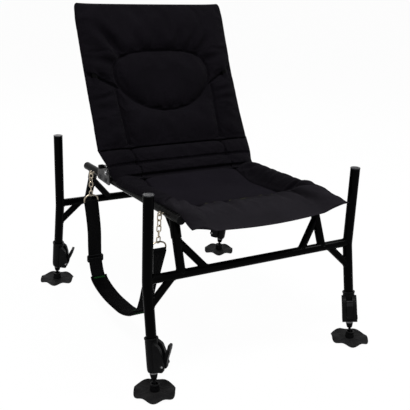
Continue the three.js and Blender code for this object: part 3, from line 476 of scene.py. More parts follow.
def bead(ring, radius):
    """A weld bead round a coped tube's end, with the ripples of its runs."""
    path = resampled(ring, BEAD_STEP, closed=True)
    ripple = 1 + BEAD_RIPPLE * np.sin(np.arange(len(path)) * BEAD_TURN)
    return swept(path, circle(radius, 8), ripple, closed=True)


def coped_tube(start, end, radius, start_on, end_on, bead_radius, sides=32):
    """A tube coped to the tubes at its ends, with its weld beads. start_on and end_on give each of
    those tubes as a point of its axis, the axis and its radius."""
    start, end = np.asarray(start, float), np.asarray(end, float)
    along = unit(end - start)
    normals, others = side_directions([start, end])
    section = circle(radius, sides)
    middle = (start + end) / 2 + section[:, :1] * normals[0] + section[:, 1:] * others[0]
    first = met(middle, -along, start_on[0], start_on[1], start_on[2] - COPE_SINK)
    last = met(middle, along, end_on[0], end_on[1], end_on[2] - COPE_SINK)
    inset, sink = along * radius * 0.4, along * COPE_SINK
    rings = [first, first + inset, last - inset, last]
    made = Shape(np.vstack(rings), capped_faces(len(rings), sides))
    return made + bead(first + sink, bead_radius) + bead(last - sink, bead_radius)


def bolt_head(radius, thickness, sides=6):
    """A bolt or nut head standing on Z = 0, its top edges turned off."""
    outline = rounded(circle(radius, sides), radius * 0.08, 2)
    low = plate(outline, 0, thickness * 0.72)
    dome = turned([
        (radius * 0.9, thickness * 0.7), (radius * 0.86, thickness * 0.86),
        (radius * 0.7, thickness), (0, thickness),
    ], 32)
    return low + dome


# Materials

DUST_COLOUR = (0.05, 0.048, 0.045, 1.0)
LINT_COLOUR = (0.03, 0.03, 0.03, 1.0)
YARN_SHADES = (0.78, 1.3)  # darkest and lightest yarn, as shares of the cloth's colour
PAINTED_LIGHT_RANGE = (-0.185, -0.26)  # along Y, from the full colour to the lighter one of the painted light


class Nodes:
    """Short calls for building a node tree."""

    def __init__(self, tree):
        self.tree = tree

    def feed(self, node, inputs):
        """Sets a node's inputs, each to a value or from another node's output."""
        for key, value in inputs.items():
            if isinstance(value, bpy.types.NodeSocket):
                self.tree.links.new(value, node.inputs[key])
            else:
                node.inputs[key].default_value = value

    def add(self, kind, inputs=None, **settings):
        node = self.tree.nodes.new(kind)
        for key, value in settings.items():
            setattr(node, key, value)
        self.feed(node, inputs or {})
        return node

    def effect(self, group, **inputs):
        """An effect's node group with its own values: its outputs."""
        return self.add("ShaderNodeGroup", inputs, node_tree=group).outputs

    def place(self):
        """A point's place in the object."""
        return self.add("ShaderNodeTexCoord").outputs["Object"]

    def split(self, vector):
        """The three parts of a vector."""
        return self.add("ShaderNodeSeparateXYZ", {0: vector}).outputs

    def maths(self, operation, a, b=0.0, clamp=False):
        node = self.add("ShaderNodeMath", {0: a, 1: b}, operation=operation, use_clamp=clamp)
        return node.outputs[0]

    def plus(self, a, b, clamp=False):
        return self.maths("ADD", a, b, clamp)

    def times(self, a, b, clamp=False):
        return self.maths("MULTIPLY", a, b, clamp)

    def blend(self, share, a, b):
        return self.add("ShaderNodeMix", {0: share, 6: a, 7: b}, data_type="RGBA").outputs[2]

    def shades(self, share, colour, dark, light):
        """A darker to a lighter shade of one colour."""
        return self.blend(share, rgba(colour, dark), rgba(colour, light))

    def ranged(self, value, low, high, to_low=0.0, to_high=1.0):
        ends = {"From Min": low, "From Max": high, "To Min": to_low, "To Max": to_high}
        return self.add("ShaderNodeMapRange", {"Value": value, **ends}).outputs[0]

    def noise(self, place, scale, detail=3.0, roughness=0.55):
        inputs = {"Vector": place, "Scale": scale, "Detail": detail, "Roughness": roughness}
        return self.add("ShaderNodeTexNoise", inputs).outputs[0]

    def bump(self, height, distance):
        inputs = {"Height": height, "Distance": distance, "Strength": 1.0}
        return self.add("ShaderNodeBump", inputs).outputs[0]

    def unlit(self):
        """1 for the rays that see the surroundings as plain white: camera, gloss and glass."""
        path = self.add("ShaderNodeLightPath").outputs
        mirrored = self.maths("MAXIMUM", path["Is Glossy Ray"], path["Is Transmission Ray"])
        return self.maths("MAXIMUM", path["Is Camera Ray"], mirrored)


def effect_group(name, inputs, outputs, build):
    """A shader node group, built once. inputs holds each named number's default."""
    if name in bpy.data.node_groups:
        return bpy.data.node_groups[name]
    group = bpy.data.node_groups.new(name, "ShaderNodeTree")
    for way, labels in (("INPUT", inputs), ("OUTPUT", outputs)):
        for label in labels:
            made = group.interface.new_socket(
                name=label, in_out=way, socket_type="NodeSocketFloat"
            )
            if way == "INPUT":
                made.default_value = inputs[label]
    nodes = Nodes(group)
    given = nodes.add("NodeGroupInput").outputs
    nodes.feed(nodes.add("NodeGroupOutput"), build(nodes, given))
    return group


def weave_effect():
    """Plain weave from warp and weft threads, with uneven yarn and pressed patches."""

    def build(n, given):
        place = n.place()
        x, y, z = n.split(place)
        wander = n.times(n.noise(place, 60.0, 2.0), 0.0012)
        warp, weft = (
            n.maths("SINE", n.times(n.plus(way, wander), given["Threads"]))
            for way in (x, n.plus(y, z))
        )
        slub = n.noise(place, 900.0, 2.0)
        pressed = n.noise(place, 9.0)
        return {
            "Height": n.plus(n.times(n.times(warp, weft), 0.5), slub),
            "Shade": n.ranged(n.plus(n.times(slub, 0.35), pressed), 0.35, 0.95),
        }

    return effect_group("Woven cloth", {"Threads": 5200.0}, ("Height", "Shade"), build)


def wear_effect():
    """Rubbed edges and fine scratches as one mask."""

    def build(n, given):
        place = n.place()
        edge = n.ranged(n.add("ShaderNodeNewGeometry").outputs["Pointiness"], 0.53, 0.62)
        patch = n.ranged(n.noise(place, 70.0, 5.0, 0.65), 0.45, 0.7)
        long_ways = {0: place, 1: (900.0, 900.0, 90.0)}
        stretched = n.add("ShaderNodeVectorMath", long_ways, operation="MULTIPLY").outputs[0]
        scratch = n.ranged(n.noise(stretched, 1.0, 2.0), 0.7, 0.78)
        worn = n.plus(n.times(edge, patch), n.times(n.times(scratch, patch), 0.4))
        return {"Mask": n.times(worn, given["Amount"], clamp=True)}

    return effect_group("Edge wear", {"Amount": 0.5}, ("Mask",), build)


def grain_effect():
    """Fine moulded or orange-peel grain, with broad unevenness for the gloss."""

    def build(n, given):
        place = n.place()
        broad = n.ranged(n.noise(place, 22.0), 0.3, 0.7)
        return {"Height": n.noise(place, given["Scale"], 3.0, 0.6), "Broad": broad}

    return effect_group("Fine grain", {"Scale": 700.0}, ("Height", "Broad"), build)


def dust_effect():
    """Dust that gathers on upward faces and near the ground."""

    def build(n, given):
        place = n.place()
        upward = n.ranged(n.split(n.add("ShaderNodeNewGeometry").outputs["Normal"])[2], 0.2, 1.0)
        low = n.ranged(n.split(place)[2], 0.0, 0.12, 1.0, 0.0)
        patch = n.ranged(n.noise(place, 38.0, 5.0, 0.7), 0.4, 0.75)
        whole = n.plus(n.times(upward, 0.5), n.times(low, 0.6))
        return {"Mask": n.times(n.times(whole, patch), given["Amount"], clamp=True)}

    return effect_group("Settled dust", {"Amount": 0.3}, ("Mask",), build)


def rgba(value, factor=1.0):
    return (*[min(1.0, c * factor) for c in value], 1.0)


def bare_material(name, settings):
    """Makes a material, with constants set on its shader's own sockets."""
    material = bpy.data.materials.new(name)
    material.use_nodes = True
    shader = material.node_tree.nodes["Principled BSDF"]
    n = Nodes(material.node_tree)
    n.feed(shader, settings)
    return n, shader


def hard_material(name, base, rough, grain, depth, wear, worn_colour, dust, settings):
    """Paint, plastic, rubber or metal: grain in the surface, uneven gloss, wear and dust."""
    n, shader = bare_material(name, settings)
    surface = n.effect(grain_effect(), Scale=grain)
    worn = n.effect(wear_effect(), Amount=wear)["Mask"]
    dusty = n.effect(dust_effect(), Amount=dust)["Mask"]
    tint = n.blend(worn, n.shades(surface["Broad"], base, 0.85, 1.18), rgba(worn_colour))
    gloss = n.ranged(surface["Broad"], 0.0, 1.0, *rough)
    n.feed(shader, {
        "Base Color": n.blend(dusty, tint, DUST_COLOUR),
        "Roughness": n.plus(gloss, n.times(dusty, 0.5), clamp=True),
        "Normal": n.bump(surface["Height"], depth),
    })


def cloth_material(name, base, threads, depth, sheen, painted_front_light=None):
    """Woven polyester with a faint sheen and uneven yarn. Where a front colour is given, the cloth
    takes it towards the front: painted light, a lighter colour that stands in for the light
    falling on the seat's front edge."""
    n, shader = bare_material(name, {
        "Sheen Weight": sheen, "Sheen Roughness": 0.3, "Specular IOR Level": 0.012,
    })
    weave = n.effect(weave_effect(), Threads=threads)
    dusty = n.effect(dust_effect(), Amount=0.05)["Mask"]
    tint = n.shades(weave["Shade"], base, *YARN_SHADES)
    if painted_front_light is not None:
        # Painted light: towards the front the cloth takes a lighter colour that stands in for the
        # light falling on the seat's front edge.
        front = n.ranged(n.split(n.place())[1], *PAINTED_LIGHT_RANGE)
        tint = n.blend(front, tint, n.shades(weave["Shade"], painted_front_light, *YARN_SHADES))
    n.feed(shader, {
        "Base Color": n.blend(dusty, tint, LINT_COLOUR),
        "Roughness": n.ranged(weave["Shade"], 0.0, 1.0, 0.82, 0.93),
        "Normal": n.bump(weave["Height"], depth),
    })


def webbing_material(name, base):
    """Woven tape: ribs along its length and a herringbone of yarns across."""
    n, shader = bare_material(name, {
        "Sheen Weight": 0.006, "Sheen Roughness": 0.45, "Specular IOR Level": 0.03,
    })
    place = n.place()
    x, y, z = n.split(place)
    ribs = n.maths("SINE", n.times(x, 2600.0))
    slant = n.maths("SINE", n.plus(n.times(n.plus(y, z), 3600.0), n.times(ribs, 1.6)))
    yarn = n.plus(n.times(ribs, 0.6), n.times(slant, 0.4))
    n.feed(shader, {
        "Base Color": n.shades(n.ranged(yarn, -1.0, 1.0), base, 0.7, 1.5),
        "Roughness": n.ranged(n.noise(place, 300.0), 0.3, 0.7, 0.7, 0.9),
        "Normal": n.bump(yarn, 0.0004),
    })


def thread_material(name, base):
    """Twisted sewing thread."""
    n, shader = bare_material(name, {"Specular IOR Level": 0.03})
    twist = n.noise(n.place(), 2500.0, 1.0)
    n.feed(shader, {
        "Base Color": n.shades(twist, base, 0.7, 1.4),
        "Roughness": n.ranged(twist, 0.3, 0.7, 0.55, 0.8),
        "Normal": n.bump(twist, 0.0002),
    })


# Each hard finish's colour and its roughness from and to, grain, grain's depth, wear, worn
# colour, dust and the shader's own settings
HARD_FINISHES = {
    "Black paint": (
        "paint", (0.16, 0.28), 260.0, 0.00006, 0.16, (0.06, 0.06, 0.06), 0.05,
        {"Coat Weight": 0.012, "Coat Roughness": 0.1, "Specular IOR Level": 0.015},
    ),
    "Bracket paint": (
        "bracket", (0.32, 0.5), 420.0, 0.0001, 0.5, (0.3, 0.3, 0.3), 0.1,
        {"Metallic": 0.3, "Specular IOR Level": 0.2},
    ),
    "Bright steel": (
        "steel", (0.2, 0.38), 900.0, 0.00004, 0.3, (0.75, 0.74, 0.72), 0.05, {"Metallic": 1.0},
    ),
    "Chain nickel": (
        "chain", (0.16, 0.34), 800.0, 0.00005, 0.4, (0.8, 0.7, 0.52), 0.05, {"Metallic": 1.0},
    ),
    "Black plastic": (
        "plastic", (0.34, 0.5), 1400.0, 0.00012, 0.3, (0.03, 0.03, 0.03), 0.08,
        {"Specular IOR Level": 0.04},
    ),
    "Grey plastic": (
        "cap", (0.4, 0.55), 1400.0, 0.0001, 0.2, (0.16, 0.16, 0.17), 0.05,
        {"Specular IOR Level": 0.15},
    ),
    "Dark grey plastic": (
        "tip", (0.4, 0.55), 1400.0, 0.0001, 0.2, (0.06, 0.06, 0.06), 0.05,
        {"Specular IOR Level": 0.08},
    ),
    "Foot rubber": (
        "rubber", (0.6, 0.8), 1100.0, 0.0002, 0.35, (0.03, 0.03, 0.03), 0.1,
        {"Specular IOR Level": 0.05},
    ),
}


def build_materials():
    f = bpy.context.scene.chair_finishes
    for name, (field, *values) in HARD_FINISHES.items():
        hard_material(name, getattr(f, field), *values)
    cloth_material("Cushion fabric", f.fabric, 5200.0, 0.00035, 0.007)
    # The seat border's lighter front colour is painted light on its front edge.
    cloth_material("Seat border fabric", f.fabric, 5200.0, 0.00035, 0.007, f.painted_front_light)
    cloth_material("Seat panel fabric", f.panel, 4300.0, 0.0004, 0.005)
    cloth_material("Pad fabric", f.pad, 5200.0, 0.00035, 0.004)
    webbing_material("Strap webbing", f.webbing)
    thread_material("Black thread", f.thread)
    thread_material("Green thread", f.bright_thread)
    thread_material("Olive thread", f.pale_thread)


# Pieces


def new_object(name, shape):
    mesh = bpy.data.meshes.new(name)
    mesh.from_pydata(shape.points.tolist(), [], shape.faces)
    mesh.update()
    piece = bpy.data.objects.new(name, mesh)
    bpy.context.scene.collection.objects.link(piece)
    return piece


def dressed(piece, material, sharp=35.0):
    """Smooth shading with sharp edges over an angle, and a material."""
    piece.data.shade_smooth()
    if sharp:
        piece.data.set_sharp_from_angle(angle=math.radians(sharp))
    piece.data.materials.clear()
    piece.data.materials.append(bpy.data.materials[material])
    return piece


def rigid_piece(name, shape, material, body, node="", bevel=0.0, slot=""):
    """A hard piece that rides on a body, stands for a CAD node and takes a material. slot is not
    used.
    """
    piece = dressed(new_object(name, shape), material)
    if bevel:
        edge = piece.modifiers.new("Edge", "BEVEL")
        edge.width, edge.segments, edge.limit_method = bevel, 2, "ANGLE"
        edge.angle_limit = math.radians(40)
        edge.harden_normals = True
    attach(piece, body)
    if node:
        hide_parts(node)


def thread_piece(name, shape, material, body):
    """Sewn thread that rides on a body with the cushion that it is sewn into."""
    piece = dressed(new_object(name, shape), material, 0)
    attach(piece, body)


def corner_matrix(side, end):
    return Matrix.Diagonal((side, end, 1, 1))


def lower_matrix(s):
    """The frame of a lower leg: the bend is its origin and -Z runs down the leg."""
    bend = Matrix.Translation((s.half_width, s.half_depth, s.bend_height))
    return bend @ Matrix.Rotation(s.kick, 4, "X")


def down_leg(s, height):
    """Distance down the lower leg, from its bend, at which its axis is at a height."""
    return (s.bend_height - height) / math.cos(s.kick)


def low_leg_point(s, distance):
    return np.array([
        s.half_width,
        s.half_depth + distance * math.sin(s.kick),
        s.bend_height - distance * math.cos(s.kick),
    ])


def leg_path(s):
    """The bent axis of an outer leg, in a corner whose outward sides are +X and +Y."""
    radius, rise = s.bend_radius, s.bend_radius * math.tan(s.kick / 2)
    y, z = s.half_depth + radius, s.bend_height + rise
    arc = [
        (s.half_width, y - radius * math.cos(turn), z - radius * math.sin(turn))
        for turn in np.linspace(0, s.kick, 12)
    ]
    return np.array([(s.half_width, s.half_depth, s.leg_top), *arc, low_leg_point(s, s.tube_end)])


def rail_height(s, y):
    slope = (s.front_height - s.rear_height) / (s.rear_y - s.front_y)
    return s.rear_height + (s.rear_y - y) * slope


def leg_plug(s):
    """Moulded plug with a domed rim in the top of a leg."""
    top = s.leg_top + CLEAR
    rim = top + 0.003
    plug = lathed([
        (0, top - 0.014), (0.0097, top - 0.014), (0.0097, top), (0.0128, top), (0.0128, rim),
        (0, rim),
    ], 0.0009, 3, 48)
    low = top + 0.0028
    dish = turned([(0, low), (0.0062, low), (0.0068, top + 0.0033), (0.0075, rim)], 40)
    return (plug + dish).placed(Matrix.Translation((s.half_width, s.half_depth, 0)))


def strut_point(b, r, height):
    share = (height - b.crossbar_height) / (r.strut_top - b.crossbar_height)
    shift = (height - b.crossbar_height) * math.tan(r.strut_lean)
    return np.array([mix(r.strut_foot_x, r.strut_top_x, share), b.half_depth - shift, height])


def strut_set(b, r, end):
    """Strut, side brace and corner stay with their welds, and the sleeve on the strut's top, in a
    corner whose outward sides are +X and +Y."""
    rail_at = lambda y: np.array([r.rail_x, y, rail_height(r, end * y)])
    bar_line = crossbar_line(b)
    rail_line = (rail_at(0), rail_at(b.half_depth) - rail_at(0), r.rail / 2)
    strut_at = lambda height: strut_point(b, r, height)
    foot, top = strut_at(b.crossbar_height), strut_at(r.strut_top)
    strut_line = (foot, top - foot, b.strut / 2)
    post = coped_tube(foot, top, b.strut / 2, bar_line, rail_line, b.bead)
    brace_foot = (r.brace_foot_x, b.half_depth, b.crossbar_height)
    brace_top = strut_at(r.brace_height)
    brace = coped_tube(brace_foot, brace_top, b.brace / 2, bar_line, strut_line, b.bead)
    stay_foot = strut_at(r.stay_height)
    stay_end = rail_at(stay_foot[1] - r.stay_reach)
    stay = coped_tube(stay_foot, stay_end, b.stay / 2, strut_line, rail_line, b.bead * 0.8, 24)
    sleeve_ends = [strut_at(r.stay_height + 0.006), strut_at(r.strut_top - 0.007)]
    return post + brace + stay + tube(sleeve_ends, b.strut / 2 + 0.0018, 36, 0.001)


def crossbar_line(b):
    """A crossbar as a point of its axis, the axis and its radius."""
    return (0, b.half_depth, b.crossbar_height), (1, 0, 0), b.crossbar / 2


def gusset_tube(b):
    leg_foot = low_leg_point(b, b.gusset_drop)
    bar_end = (b.half_width - b.gusset_inset, b.half_depth, b.crossbar_height)
    leg_line = (leg_foot, low_leg_point(b, 1.0) - leg_foot, b.leg / 2)
    return coped_tube(bar_end, leg_foot, b.gusset / 2, crossbar_line(b), leg_line, b.bead)


def cross_tube(b):
    """Crossbar between two legs, in the +Y half."""
    at = lambda side: np.array([side * b.half_width, b.half_depth, b.crossbar_height])
    lines = [(at(side), (0, 0, 1), b.leg / 2) for side in (-1, 1)]
    return coped_tube(at(-1), at(1), b.crossbar / 2, lines[0], lines[1], b.bead, 40)


def rail_tube(r):
    """A seat rail, and the plugs in its two ends."""
    at = lambda y: np.array([r.rail_x, y, rail_height(r, y)])
    ends = ((r.rear_y, -1), (r.front_y, 1))
    body = tube([at(y + way * 0.0015) for y, way in ends], r.rail / 2, 40)
    plugs = Shape()
    for y, way in ends:
        plugs += tube([at(y), at(y + way * 0.0035)], r.rail / 2 + 0.0002, 40, 0.0014)
    return body, plugs


class ChairOperator(bpy.types.Operator):
    """Base of the operators that build pieces."""

    bl_options = {"REGISTER", "UNDO"}


class CHAIR_OT_finishes(ChairOperator):
    """Make the materials of the chair"""

    bl_idname = "chair.finishes"
    bl_label = "Finishes"

    def execute(self, context):
        build_materials()
        return {"FINISHED"}


class CHAIR_OT_base(ChairOperator):
    """Build the legs, crossbars, gussets and seat struts"""

    bl_idname = "chair.base"
    bl_label = "Base Frame"

    def execute(self, context):
        b, r = context.scene.chair_base, context.scene.chair_seat_frame
        for name, side, end, _ in CORNERS:
            leg = tube(leg_path(b), b.leg / 2, 40, 0.0008)
            for piece, shape, material, node in (
                ("outer_leg", leg, "Black paint", "leg_tube"),
                ("leg_plug", leg_plug(b), "Grey plastic", "leg_cap"),
                ("corner_gusset", gusset_tube(b), "Black paint", "gusset"),
                ("seat_strut", strut_set(b, r, end), "Black paint", "truss"),
            ):
                shape = shape.placed(corner_matrix(side, end))
                rigid_piece(f"{piece}_{name}", shape, material, "base", f"{node}_{name}")
        for name, end in (("front", -1), ("rear", 1)):
            bar = cross_tube(b).placed(corner_matrix(1, end))
            rigid_piece(f"cross_tube_{name}", bar, "Black paint", "base", f"crossbar_{name}")
        return {"FINISHED"}


class CHAIR_OT_rails(ChairOperator):
    """Build the two seat rails"""

    bl_idname = "chair.rails"
    bl_label = "Seat Rails"

    def execute(self, context):
        body, plugs = rail_tube(context.scene.chair_seat_frame)
        for name, side in SIDES:
            rail, ends = (shape.placed(corner_matrix(side, 1)) for shape in (body, plugs))
            rigid_piece(f"seat_rail_{name}", rail, "Black paint", "base", f"side_rail_{name}")
            rigid_piece(f"rail_plugs_{name}", ends, "Black plastic", "base")
        return {"FINISHED"}


# Hinge


def stop_place(h):
    """Where the stop pin stands, behind the back tube."""
    behind = h.tube / 2 + PEG_RADIUS + CLEAR
    sine, cosine = math.sin(h.lean), math.cos(h.lean)
    return (
        h.y + PEG_RISE * sine + behind * cosine,
        h.height + PEG_RISE * cosine - behind * sine,
    )


def hinge_bracket(h, r):
    """The plate on a rail's outer side, drawn for the +X side."""
    under = rail_height(r, h.y) - r.rail / 2
    rail_top = rail_height(r, PLATE_SCREWS[1]) + r.rail / 2
    outline = [
        (h.y - 0.016, under), (0.18, under), (0.18, rail_top + 0.004),
        (h.y + 0.053, h.height + 0.009), (h.y + 0.016, h.height + 0.0175),
        (h.y - 0.012, h.height + 0.0115),
    ]
    inside = r.rail_x + r.rail / 2 + CLEAR
    return plate(rounded(outline, 0.008, 6), inside, inside + h.plate).placed(ALONG_X)


def along_x(shape, x, y, z, way=1):
    """A turned body laid along X, standing on a point."""
    place = Matrix.Translation((x, y, z)) @ Matrix.Diagonal((way, 1, 1, 1)) @ ALONG_X
    return shape.placed(place)


def washer(radius, bore, thickness):
    outline = [(bore, 0), (radius, 0), (radius, thickness), (bore, thickness)]
    return turned([*rounded(outline, thickness * 0.3, 2, closed=False), (bore, 0)], 40)


def button_screw(radius, thickness):
    """A low domed screw head with a hexagon recess."""
    return turned([
        (radius, 0), (radius, thickness * 0.25), (radius * 0.93, thickness * 0.6),
        (radius * 0.75, thickness * 0.88), (radius * 0.46, thickness), (radius * 0.42, thickness),
        (radius * 0.4, thickness * 0.55), (0, thickness * 0.5),
    ], 36)


class CHAIR_OT_hinges(ChairOperator):
    """Build the backrest's hinge plates, bolts, screws and stops"""

    bl_idname = "chair.hinges"
    bl_label = "Hinges"

    def execute(self, context):
        h, r = context.scene.chair_hinge, context.scene.chair_seat_frame
        outside = r.rail_x + r.rail / 2 + CLEAR + h.plate
        for name, side in SIDES:
            for piece, shape, material, node, bevel in (
                ("hinge_bracket", hinge_bracket(h, r), "Bracket paint", "hinge_plate_", 0.0008),
                ("hinge_screws", self.screws(r, outside), "Bracket paint", "", 0),
                ("hinge_bolt", self.bolt(h, outside), "Bright steel", "pivot_bolt_", 0),
                ("stop_peg", self.peg(h, outside), "Black plastic", "stop_pin_", 0),
            ):
                shape = shape.placed(corner_matrix(side, 1))
                node = node and node + name
                rigid_piece(f"{piece}_{name}", shape, material, "base", node, bevel)
        return {"FINISHED"}

    def screws(self, r, outside):
        made = Shape()
        for y in PLATE_SCREWS:
            z = rail_height(r, y)
            made += along_x(washer(0.0064, 0.002, 0.001), outside, y, z)
            made += along_x(button_screw(0.0055, 0.003), outside + 0.0008, y, z)
        return made

    def bolt(self, h, outside):
        inside, y, z = h.tube_x - h.tube / 2, h.y, h.height
        shank = tube([(inside - 0.006, y, z), (outside + 0.001, y, z)], h.bolt / 2, 28, 0.0005)
        head = along_x(washer(0.0085, 0.003, 0.0014), outside + 0.0003, y, z)
        head += along_x(bolt_head(0.0072, 0.0048), outside + 0.0012, y, z)
        return shank + head + along_x(bolt_head(0.0072, 0.0045), inside - 0.0003, y, z, -1)

    def peg(self, h, outside):
        y, z = stop_place(h)
        ends = [(h.tube_x - h.tube / 2, y, z), (outside + 0.001, y, z)]
        knob = lathed([
            (0, 0.0003), (0.0052, 0.0003), (0.006, 0.004), (0.006, 0.0135), (0.0042, 0.0153),
            (0, 0.0153),
        ], 0.0016, 4, 36)
        return tube(ends, PEG_RADIUS, 28, 0.0006) + along_x(knob, outside, y, z)


# Leg clamps, inner legs and feet


def lever_pivot(s, across=0.0):
    return np.array([LEVER_OUT, across, -down_leg(s, LEVER_HEIGHT)])


def clamp_collar(s):
    """The moulded collar at the outer leg's lower end, with its two cheeks, in the lower leg's
    frame."""
    at = lambda height: -down_leg(s, height)
    top, bottom = at(0.132), at(0.0505)
    bore, lip = s.leg / 2 + CLEAR, 0.0103
    barrel = lathed([
        (lip, bottom), (0.0132, bottom), (0.0146, bottom + 0.0035), (0.0152, bottom + 0.012),
        (0.0155, top - 0.012), (0.0155, top - 0.0048), (0.01675, top - 0.0038),
        (0.01675, top - 0.0002), (bore, top), (bore, top - 0.004), (lip, top - 0.005),
        (lip, bottom),
    ], 0.0009, 3, 56)
    root = 0.0155 / 2
    cheek = rounded([
        (root, at(0.125)), (0.0225, at(0.114)), (0.0285, at(0.095)), (0.032, at(0.068)),
        (0.0295, at(0.055)), (root, at(0.055)),
    ], 0.0045, 4)
    cheeks = Shape()
    for way in (-1, 1):
        low, high = sorted((way * 0.0078, way * 0.0195))
        cheeks += plate(cheek, low, high).placed(ALONG_Y)
        low, high = sorted((way * 0.019, way * 0.0202))
        boss = drum(0.0062, low, high, 0.0004, 2, 32)
        cheeks += boss.placed(Matrix.Translation(lever_pivot(s)) @ ALONG_Y)
    return barrel, cheeks


def clamp_lever(s):
    """The cam and its curved arm, and the arm's tip."""
    pivot = lever_pivot(s)
    low, tip = pivot[2], -down_leg(s, 0.117)
    at = lambda share: low + (tip - low) * share
    inner = [
        (0.0262, low + 0.0066), (0.029, at(0.3)), (0.0345, at(0.6)), (0.0415, tip - 0.0035),
        (0.0425, tip),
    ]
    outer = [
        (0.0471, tip - 0.0005), (0.0485, tip - 0.003), (0.0436, at(0.58)), (0.0385, at(0.3)),
        (0.0355, low + 0.002),
    ]
    arm = np.vstack([spline(inner, 5), spline(outer, 5)])
    thumb = rounded([
        (0.0407, tip - 0.012), (0.0461, tip - 0.0145), (0.0487, tip - 0.0035),
        (0.0473, tip + 0.0002), (0.0422, tip + 0.0003), (0.0402, tip - 0.005),
    ], 0.0012, 3)
    half, proud = 0.0075, 0.0002
    cam = drum(0.0075, -half, half, 0.0006, 2, 40).placed(Matrix.Translation(pivot) @ ALONG_Y)
    body = plate(arm, -half, half).placed(ALONG_Y) + cam
    return body, plate(thumb, -half - proud, half + proud).placed(ALONG_Y)


def ball_stud(s):
    """The plug in the inner leg's lower end, with its neck and ball."""
    centre, ball, neck = -down_leg(s, BALL_HEIGHT), 0.007, 0.0035
    arc = [
        (ball * math.sin(t), centre + ball * math.cos(t))
        for t in np.linspace(math.pi, math.asin(neck / ball), 14)
    ]
    arc[0] = (0, arc[0][1])
    low, top = -down_leg(s, 0.033), -down_leg(s, 0.047)
    upper = rounded([
        arc[-1], (neck, low - 0.001), (0.0065, low), (0.0078, low + 0.004), (0.01, top),
        (0.01, top + 0.003), (0, top + 0.003),
    ], 0.0008, 3, closed=False)
    return turned([*arc[:-1], *upper], 40)


def inner_tube(s):
    low, high = -down_leg(s, 0.0465), -0.014
    return tube([(0, 0, low), (0, 0, high)], 0.01, 40, 0.0006)


def ankle_socket():
    """The socket that the ball snaps into, and the spigot that turns in the foot."""
    cavity, throat = 0.0076, 0.0063
    hollow = [
        (cavity * math.sin(t), BALL_HEIGHT + cavity * math.cos(t))
        for t in np.linspace(math.asin(throat / cavity), math.pi, 12)
    ]
    hollow[-1] = (0, hollow[-1][1])
    outer = rounded([
        (0, 0.0007), (0.0075, 0.0007), (0.0075, 0.0022), (0.005, 0.0022), (0.005, 0.005),
        (0.0112, 0.005), (0.0119, 0.0075), (0.0112, 0.013), (0.0108, 0.0185), (0.0115, 0.0215),
        (0.0105, 0.023), (0.0078, 0.023),
    ], 0.0006, 3, closed=False)
    return turned([*outer, *hollow], 48)


def lobed_foot():
    """A dished foot with six lobes, ribs over the lobes and a bore for the spigot."""
    spokes, petals = 180, 6
    head, spigot, seat_height = 0.0078, 0.0053, 0.0025
    hub, flat, edge = 0.015, 0.022, 0.0515
    turn = np.arange(spokes) * 2 * math.pi / spokes
    lobes = np.cos(petals * turn)
    wave = (1 - lobes) / 2

    def ring(radius, is_top, height, shrink=0.0):
        reach = max(0.0, (radius - flat) / (edge - flat))
        lift = 0.0065 * wave * reach**1.5
        notch = 0.0032 * wave * reach
        over = mix(0.0047, 0.0022, smoothed(radius, hub, edge)) * is_top
        rib = 0.0009 * is_top * (lobes**8 * (lobes > 0)) * smoothed(radius, hub, hub + 0.006)
        rib *= 1 - smoothed(radius, edge - 0.008, edge)
        valley = -0.0006 * is_top * (1 - np.abs(np.cos(petals * turn / 2))) * reach
        out = radius - notch - shrink
        up = height + over + lift + rib + valley
        return np.stack([out * np.cos(turn), out * np.sin(turn), up], 1)

    under = (head, flat, 0.026, 0.031, 0.036, 0.041, 0.046, 0.0495)
    rim = ((0, 0.0001, 0.0006), (0.25, 0.0, 0.0), (0.75, 0.0, 0.0), (1, 0.0, 0.0006))
    over = (0.0495, 0.047, 0.044, 0.041, 0.038, 0.035, 0.032, 0.029, 0.026, 0.023, 0.02, 0.0175)
    collar = ((hub, 0.0002), (0.0142, 0.0008), (0.0128, 0.0009), (spigot, 0.0006))
    rings = [
        *(ring(radius, 0, 0.0) for radius in under),
        *(ring(edge, *place) for place in rim),
        *(ring(radius, 1, 0.0) for radius in over),
        *(ring(radius, 1, height) for radius, height in collar),
        ring(spigot, 0, seat_height),
        ring(head, 0, seat_height),
    ]
    return Shape(np.vstack(rings), band_faces(len(rings), spokes, True))


